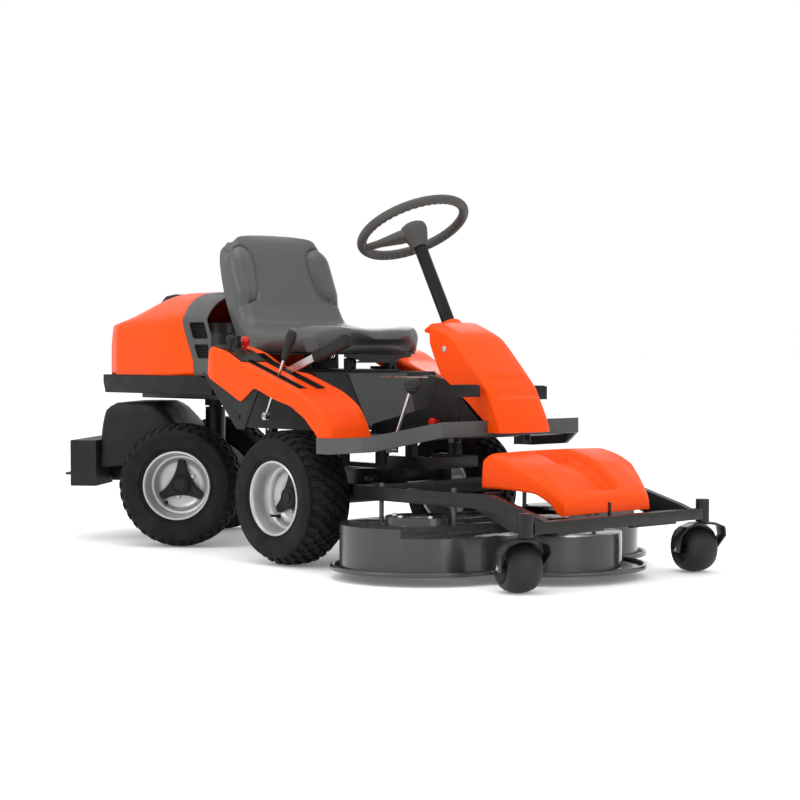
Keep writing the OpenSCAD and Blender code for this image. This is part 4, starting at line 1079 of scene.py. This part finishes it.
def build_front_cover():
    """Orange nose over the deck drive: two ridges beside a valley, and a strap slot at the front."""
    plan = ((686, 238), (700, 244), (820, 242), (880, 214), (948, 178))
    line = ((686, 266, 690, 262), (690, 330, 696, 262), (697, 350, 702, 262), (722, 362, 724, 262),
            (775, 350, 776, 262), (830, 330, 826, 260), (880, 296, 872, 252), (918, 266, 908, 226),
            (938, 248, 924, 200), (947, 236, 930, 196), (950, 215, 938, 193), (950, 196, 944, 193))
    stations = [(x, z, fx, fz, -between(x, plan), between(x, plan)) for x, z, fx, fz in line]

    def relief(x, y):
        valley = smooth_step(abs(y), 84, 60) * smooth_step(x, 724, 742) * (1 - smooth_step(x, 905, 932))
        fall = smooth_step(abs(y), 150, 236) * smooth_step(x, 790, 850)
        return -34 * valley - 10 * fall - 4 * (y / 245) ** 2
    bm = band(stations, 26, relief, steps=8, count=91, cap_start=False)
    piece = add_piece("front_cover_moulding", to_mesh("front_cover", bm, TO_AXLE), "arms", "orange_shell",
                      ["front_cover"], crease=45)
    thickened(piece, COVER_WALL)
    strap = prism(rounded([(-4, 186), (4, 186), (4, 224), (-4, 224)], 3, 3), -3, 3)
    strap.transform(Matrix.Translation((951, 0, 0)) @ Matrix.Rotation(pi / 2, 4, "Z"))
    add_piece("front_cover_strap", to_mesh("strap", bevelled(strap, 0.8, 2), TO_AXLE), "arms", "hard_rubber")
    for s in (-1, 1):
        stay = block((750, min(s * 235, s * 294), 250), (770, max(s * 235, s * 294), 255))
        add_piece(f"front_cover_stay_{'left' if s > 0 else 'right'}",
                  to_mesh("stay", bevelled(stay, 1, 2), TO_AXLE), "arms", "frame_paint")


# ---------------------------------------------------------------- deck
# Radii of the two outer lobes and of the nose, and of the screw circle on each pulley cover
LOBE_R, NOSE_R, SCREW_CIRCLE_R = 256, 274, 84


def deck_outline(outer_r, nose_r, steps=180):
    """Plan outline round the two outer lobes and the nose, seen from the middle of the deck."""
    lobes = []
    for name, r in (("right", outer_r), ("left", outer_r), ("middle", nose_r)):
        centre = middle(f"blade_{name}")
        lobes.append(((centre.x - AXLE_X) / MM, centre.y / MM, r))
    hub = (lobes[0][0] + 45, 0)
    points = []
    for i in range(steps):
        turn = 2 * pi * i / steps
        ux, uy = cos(turn), sin(turn)
        reach = 0.0
        for x, y, r in lobes:
            dx, dy = x - hub[0], y - hub[1]
            along = dx * ux + dy * uy
            off2 = dx * dx + dy * dy - along * along
            if off2 < r * r:
                reach = max(reach, along + sqrt(r * r - off2))
        # The straight rear wall between the outer lobes
        if ux < -0.05:
            wall = (outer_r * 0.8 + 45) / -ux
            if abs(wall * uy) < abs(lobes[0][1]):
                reach = max(reach, wall)
        points.append((hub[0] + reach * ux, reach * uy))
    return points


def build_deck():
    """Deck pressing with softened edges, its rolled rim and the pulley covers' screws."""
    softened("deck_pressing", "deck_shell", "deck_paint", 2.5)
    rim_r = 6.5
    rim_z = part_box("deck_shell")[0].z / MM + rim_r
    rim = tube([(x, y, rim_z) for x, y in deck_outline(LOBE_R, NOSE_R)], rim_r, 12, closed=True)
    add_piece("deck_rolled_rim", to_mesh("rim_roll", rim, TO_AXLE), "deck", "deck_paint", crease=70)
    parts = []
    dome_top = 175
    for s in (-1, 1):
        centre = middle("blade_left" if s > 0 else "blade_right")
        cx, cy = (centre.x - AXLE_X) / MM, centre.y / MM
        for i in range(3):
            turn = pi / 2 * s + (i - 1) * 1.1
            x, y = cx + SCREW_CIRCLE_R * cos(turn), cy + SCREW_CIRCLE_R * sin(turn)
            screw = lathe([(0, dome_top - 1), (8, dome_top - 1), (8, dome_top + 3), (6, dome_top + 6),
                           (0, dome_top + 6)],
                          6, closed=False)
            screw.transform(Matrix.Translation((x, y, 0)))
            parts.append(bevelled(screw, 0.6, 1))
    add_piece("deck_cover_screws", to_mesh("screws", joined(*parts), TO_AXLE), "deck", "bare_steel",
              crease=30)


def build_casters():
    """Barrel rollers with a recess round each hub, and bolts through the forks."""
    for side in ("right", "left"):
        node = f"caster_wheel_{side}"
        spin = joint_named(f"caster_{side}_roll")
        axis = Vector(spin["axis"]).normalized()
        low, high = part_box(node)
        r = (high.z - low.z) / 2 / MM
        half = 50.0
        profile = [(7, -30), (16, -30), (18, -36), (30, -36), (34, -34), (38, -38), (44, -half + 1),
                   (r - 21, -half), (r - 15, -half * 0.93), (r - 8, -half * 0.74), (r - 3, -half * 0.45),
                   (r - 0.6, -half * 0.16)]
        profile += [(a, -z) for a, z in reversed(profile)]
        wheel = lathe(profile, 72)
        place = (Matrix.Translation(middle(node)) @ axis.to_track_quat("Z", "Y").to_matrix().to_4x4()
                 @ Matrix.Scale(MM, 4))
        wheel.transform(place)
        add_piece(f"caster_roller_{side}", to_mesh("roller", wheel), f"roller_{side}", "hard_rubber",
                  [node], crease=50)
        bolts = []
        for end in (-1, 1):
            nut = lathe([(0, 57), (10, 57), (10, 62), (8, 64.5), (5, 65.5), (0, 65.5)], 6, closed=False)
            washer = plug(12, 55.5, 57, 32)
            both = joined(nut, washer)
            if end < 0:
                both.transform(Matrix.Rotation(pi, 4, "X"))
            both.transform(place)
            bolts.append(both)
        add_piece(f"caster_bolts_{side}", to_mesh("bolts", joined(*bolts)), f"fork_{side}", "bare_steel",
                  crease=30)
        softened(f"caster_strap_{side}", f"caster_fork_{side}", "frame_paint", 1.6)


# ---------------------------------------------------------------- rear carriage
def build_rear_cover():
    """Dark cover over the transaxle with a raised panel on top, and the bumper behind it."""
    half = 212
    line = ((-350, 252, -346, 250.5), (-351, 330, -320, 252), (-344, 400, -300, 254), (-332, 446, -280, 256),
            (-304, 464, -262, 256), (-240, 466, -240, 256), (-172, 465, -190, 256), (-140, 448, -170, 256),
            (-104, 412, -140, 256), (-80, 378, -110, 254), (-79, 300, -90, 252), (-78.5, 252, -84, 250.5))
    stations = [(x, z, fx, fz, -half, half) for x, z, fx, fz in line]

    def relief(x, y):
        panel = smooth_step(abs(y), 168, 160) * smooth_step(x, -318, -306) * (1 - smooth_step(x, -170, -158))
        groove = exp(-((abs(y) - 186) / 3) ** 2)
        return 3 * panel - 2.5 * groove
    bm = band(stations, 34, relief, steps=7, count=91)
    piece = add_piece("rear_cover_moulding", to_mesh("rear_cover", bm, TO_CARRIAGE), "rear_carriage",
                      "dark_plastic", ["rear_cover"], crease=45)
    thickened(piece, COVER_WALL)
    # Bumper: a thick moulding with rubber ribs across its rear face, open in the middle for the hitch plate
    outline = [(-250, 190), (-46, 190), (-46, 262), (46, 262), (46, 190), (250, 190), (250, 343),
               (-250, 343)]
    shape = bevelled(loft([[(x, y, z) for y, z in outline] for x in (-440, -352.5)]), 9, 4)
    add_piece("rear_bumper_moulding", to_mesh("bumper", shape, TO_CARRIAGE), "rear_carriage", "dark_plastic",
              ["rear_bumper"], crease=30)
    ribs = [bevelled(block((-441.5, -236, 276 + i * 12), (-438, 236, 282 + i * 12)), 1, 2) for i in range(5)]
    add_piece("rear_bumper_ribs", to_mesh("ribs", joined(*ribs), TO_CARRIAGE), "rear_carriage",
              "hard_rubber")


# ---------------------------------------------------------------- levers and pedals
# Degrees that the two long levers lean from level, and from upright, at rest
LIFT_LEAN, HEIGHT_LEAN = 18.9, 26.8
REVERSE_Y = -300


def build_levers():
    """The two long levers: bars with a moulded grip."""
    lift = joint_named("lift_lever_turn")
    place = (Matrix.Translation(lift["pos_m"]) @ Matrix.Rotation(-radians(LIFT_LEAN), 4,
                                                                 "Y") @ Matrix.Scale(MM, 4))
    rings = []
    for i in range(41):
        t = i / 40
        x = 258 + 158 * t
        tall = 20.5 + 2.2 * smooth_step(t, 0.55, 0.95) - 7 * smooth_step(t, 0.965,
                                                                         1) - 5 * smooth_step(t, 0.04, 0)
        wide = 15.5 + 1.5 * smooth_step(t, 0.6, 1) - 5 * smooth_step(t, 0.965, 1) - 3 * smooth_step(t,
                                                                                                    0.04, 0)
        ring = []
        for k in range(28):
            a = 2 * pi * k / 28
            under = max(0.0, -sin(a))
            ridge = 1.6 * under * (0.5 - 0.5 * cos(2 * pi * t * 11)) * smooth_step(t, 0.62,
                                                                                   0.68) * (t < 0.97)
            c, d = cos(a), sin(a)
            # A squared-off oval section
            ring.append((x, wide * (abs(c) ** 0.7) * (1 if c > 0 else -1),
                         (tall - ridge) * (abs(d) ** 0.7) * (1 if d > 0 else -1)))
        rings.append(ring)
    boss = plug(13, -10, 10, 36)
    boss.transform(Matrix.Rotation(pi / 2, 4, "X"))
    bar = joined(bevelled(block((0, -3, -11), (262, 3, 11)), 1.2, 2), bevelled(boss, 1, 2))
    add_piece("lift_lever_bar", to_mesh("bar", bar, place), "lift_lever_body", "bare_steel", ["lift_lever"])
    add_piece("lift_lever_grip", to_mesh("grip", loft(rings), place), "lift_lever_body", "dark_plastic",
              crease=50)
    height = joint_named("height_lever_turn")
    place = (Matrix.Translation(height["pos_m"]) @ Matrix.Rotation(radians(HEIGHT_LEAN), 4,
                                                                   "Y") @ Matrix.Scale(MM, 4))
    knob = lathe([(0, 192), (9, 192), (11, 196), (12, 206), (15.5, 236), (18, 262), (18, 276), (15, 286),
                  (9, 290.5), (0, 291.5)], 36, closed=False)
    knob.transform(Matrix.Scale(0.78, 4, (0, 1, 0)))
    boss = plug(12, -8, 8, 36)
    boss.transform(Matrix.Rotation(pi / 2, 4, "X"))
    rod = joined(plug(5, 0, 200, 20), bevelled(boss, 1, 2))
    add_piece("height_lever_rod", to_mesh("rod", rod, place), "height_lever_body", "bare_steel",
              ["height_lever"])
    add_piece("height_lever_grip", to_mesh("grip", knob, place), "height_lever_body", "dark_plastic",
              crease=60)


def build_panel_levers():
    """Throttle and choke: the CAD's arms, each with a knob."""
    for node, slot in (("throttle_lever", "dark_plastic"), ("choke_lever", "red_plastic")):
        low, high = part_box(node)
        softened(f"{node}_arm", node, slot, 0.8, segments=2)
        knob = lathe([(0, -26), (4.5, -26), (5, -12), (9, -8), (13.5, 0), (14, 8), (11.5, 14), (6, 17),
                      (0, 17.8)],
                     36, closed=False)
        knob.transform(Matrix.Translation(((low.x + high.x) / 2 / MM, (low.y + high.y) / 2 / MM,
                                           high.z / MM - 15)))
        knob.transform(Matrix.Scale(MM, 4))
        add_piece(f"{node}_knob", to_mesh("knob", knob), f"{node}_body", slot, crease=60)


def build_pedals():
    """Two ribbed pedals, and the reverse pedal's rod with its knob."""
    for name in ("forward", "brake"):
        node = f"{name}_pedal"
        softened(f"{name}_pedal_arm", node, "black_plastic", 4)
        low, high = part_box(node)
        # Tread ribs over the pad's top
        ribs = []
        pad_half = 44
        y = (low.y + high.y) / 2 / MM
        for i in range(5):
            x = (high.x - AXLE_X) / MM - 40 + i * 8
            ribs.append(bevelled(block((x, y - pad_half, high.z / MM - 1),
                                       (x + 4, y + pad_half, high.z / MM + 2)), 0.8, 2))
        add_piece(f"{name}_pedal_ribs", to_mesh("ribs", joined(*ribs), TO_AXLE), f"{node}_body",
                  "hard_rubber")
    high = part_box("reverse_pedal")[1]
    softened("reverse_pedal_rod", "reverse_pedal", "bare_steel", 0.8, segments=2)
    ball = lathe([(0, -23), (9, -23), (13, -19), (21, -9), (23.5, 2), (22, 12), (16, 20), (8, 23), (0, 24)],
                 40, closed=False)
    ball.transform(Matrix.Translation(((high.x - AXLE_X) / MM - 22, REVERSE_Y, high.z / MM - 22)))
    add_piece("reverse_pedal_knob", to_mesh("knob", ball, TO_AXLE), "reverse_pedal_body", "hard_rubber",
              crease=60)
# ---------------------------------------------------------------- seat mounting
def build_seat_mount():
    """Front hinge bracket with its drawn-in waist, and the plain panel on the pedestal's sloping front."""
    outline = [(-140, 632), (140, 632), (140, 624), (106, 621), (76, 613), (90, 609), (90, 606), (-90, 606),
               (-90, 609), (-76, 613), (-106, 621), (-140, 624)]
    bracket = loft([[(x, y, z) for y, z in outline] for x in (-9.5, -5)])
    add_piece("seat_hinge_bracket", to_mesh("hinge", bevelled(bracket, 0.6, 2), TO_AXLE), "seat",
              "frame_paint")
    # The panel lies on the slope from the pedestal's top edge down to the platform
    low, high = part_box("seat_pedestal")
    foot = Vector(((high.x - AXLE_X) / MM, 0, low.z / MM))
    top = Vector((-13, 0, high.z / MM - 9))
    along = (top - foot).normalized()
    out = Vector((along.z, 0, -along.x))
    panel = []
    for d, half in ((12, 104), ((top - foot).length - 4, 122)):
        at_foot = foot + along * d
        panel.append([at_foot + out * t + Vector((0, y, 0)) for y,
                      t in ((-half, 0.2), (half, 0.2), (half, 3), (-half, 3))])
    add_piece("pedestal_front_panel", to_mesh("panel", bevelled(loft(panel), 1.2, 2), TO_AXLE), "chassis",
              "grey_plastic", material=PANEL)
    # Painted highlight: a bright bare steel strip along both shoulders of the tunnel stands for the light
    # caught on the tunnel's top edges
    low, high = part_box("tunnel")
    for side, s in SIDES:
        strip = block((90, min(s * 100, s * 104.6), high.z / MM - 2.5),
                      (330, max(s * 100, s * 104.6), high.z / MM + 0.6))
        add_piece(f"tunnel_painted_highlight_{side}", to_mesh("painted_highlight_strip", bevelled(strip, 0.5, 1), TO_AXLE), "chassis",
                  "bare_steel")


# ---------------------------------------------------------------- the whole machine
SLOT_OF = {part["node"]: part["material_slot"] for part in frame["record"]["subparts"]}


def build_plain_parts():
    """Parts whose CAD shape is right: the same shape with its edges rounded by a width in mm."""
    for width, nodes in (
            (0.4, ("control_panel",)),
            (1.2, ("front_axle", "steering_column", "deck_belt", "seat_bracket", "seat_pan",
                   "chassis_fasteners", "fuel_cap", "brake_button", "ignition_switch")),
            (2, ("main_frame", "rear_frame", "rear_transaxle", "engine", "equipment_frame", "fuel_tank",
                 "blade_right", "blade_middle", "blade_left")),
            (3, ("battery", "fender_lower_covers", "tunnel", "platform", "hood_tray"))):
        for node in nodes:
            if not frame["nodes"][node].hide_render:
                softened(f"{node}_finished", node, SLOT_OF[node], width,
                         SATIN if node == "platform" else None)


def paint_cad_nodes():
    """What still shows of the CAD nodes gets its slot's material."""
    for name, node in frame["nodes"].items():
        material = SLOTS[SLOT_OF[name]]
        node.data.materials.clear()
        node.data.materials.append(material)


make_camera()
make_stage()
make_lights()
build_wheels()
build_seat()
build_steering_wheel()
build_hood()
build_grille()
build_fenders()
build_column_cover()
build_front_cover()
build_deck()
build_casters()
build_rear_cover()
build_levers()
build_panel_levers()
build_pedals()
build_seat_mount()
build_plain_parts()
paint_cad_nodes()
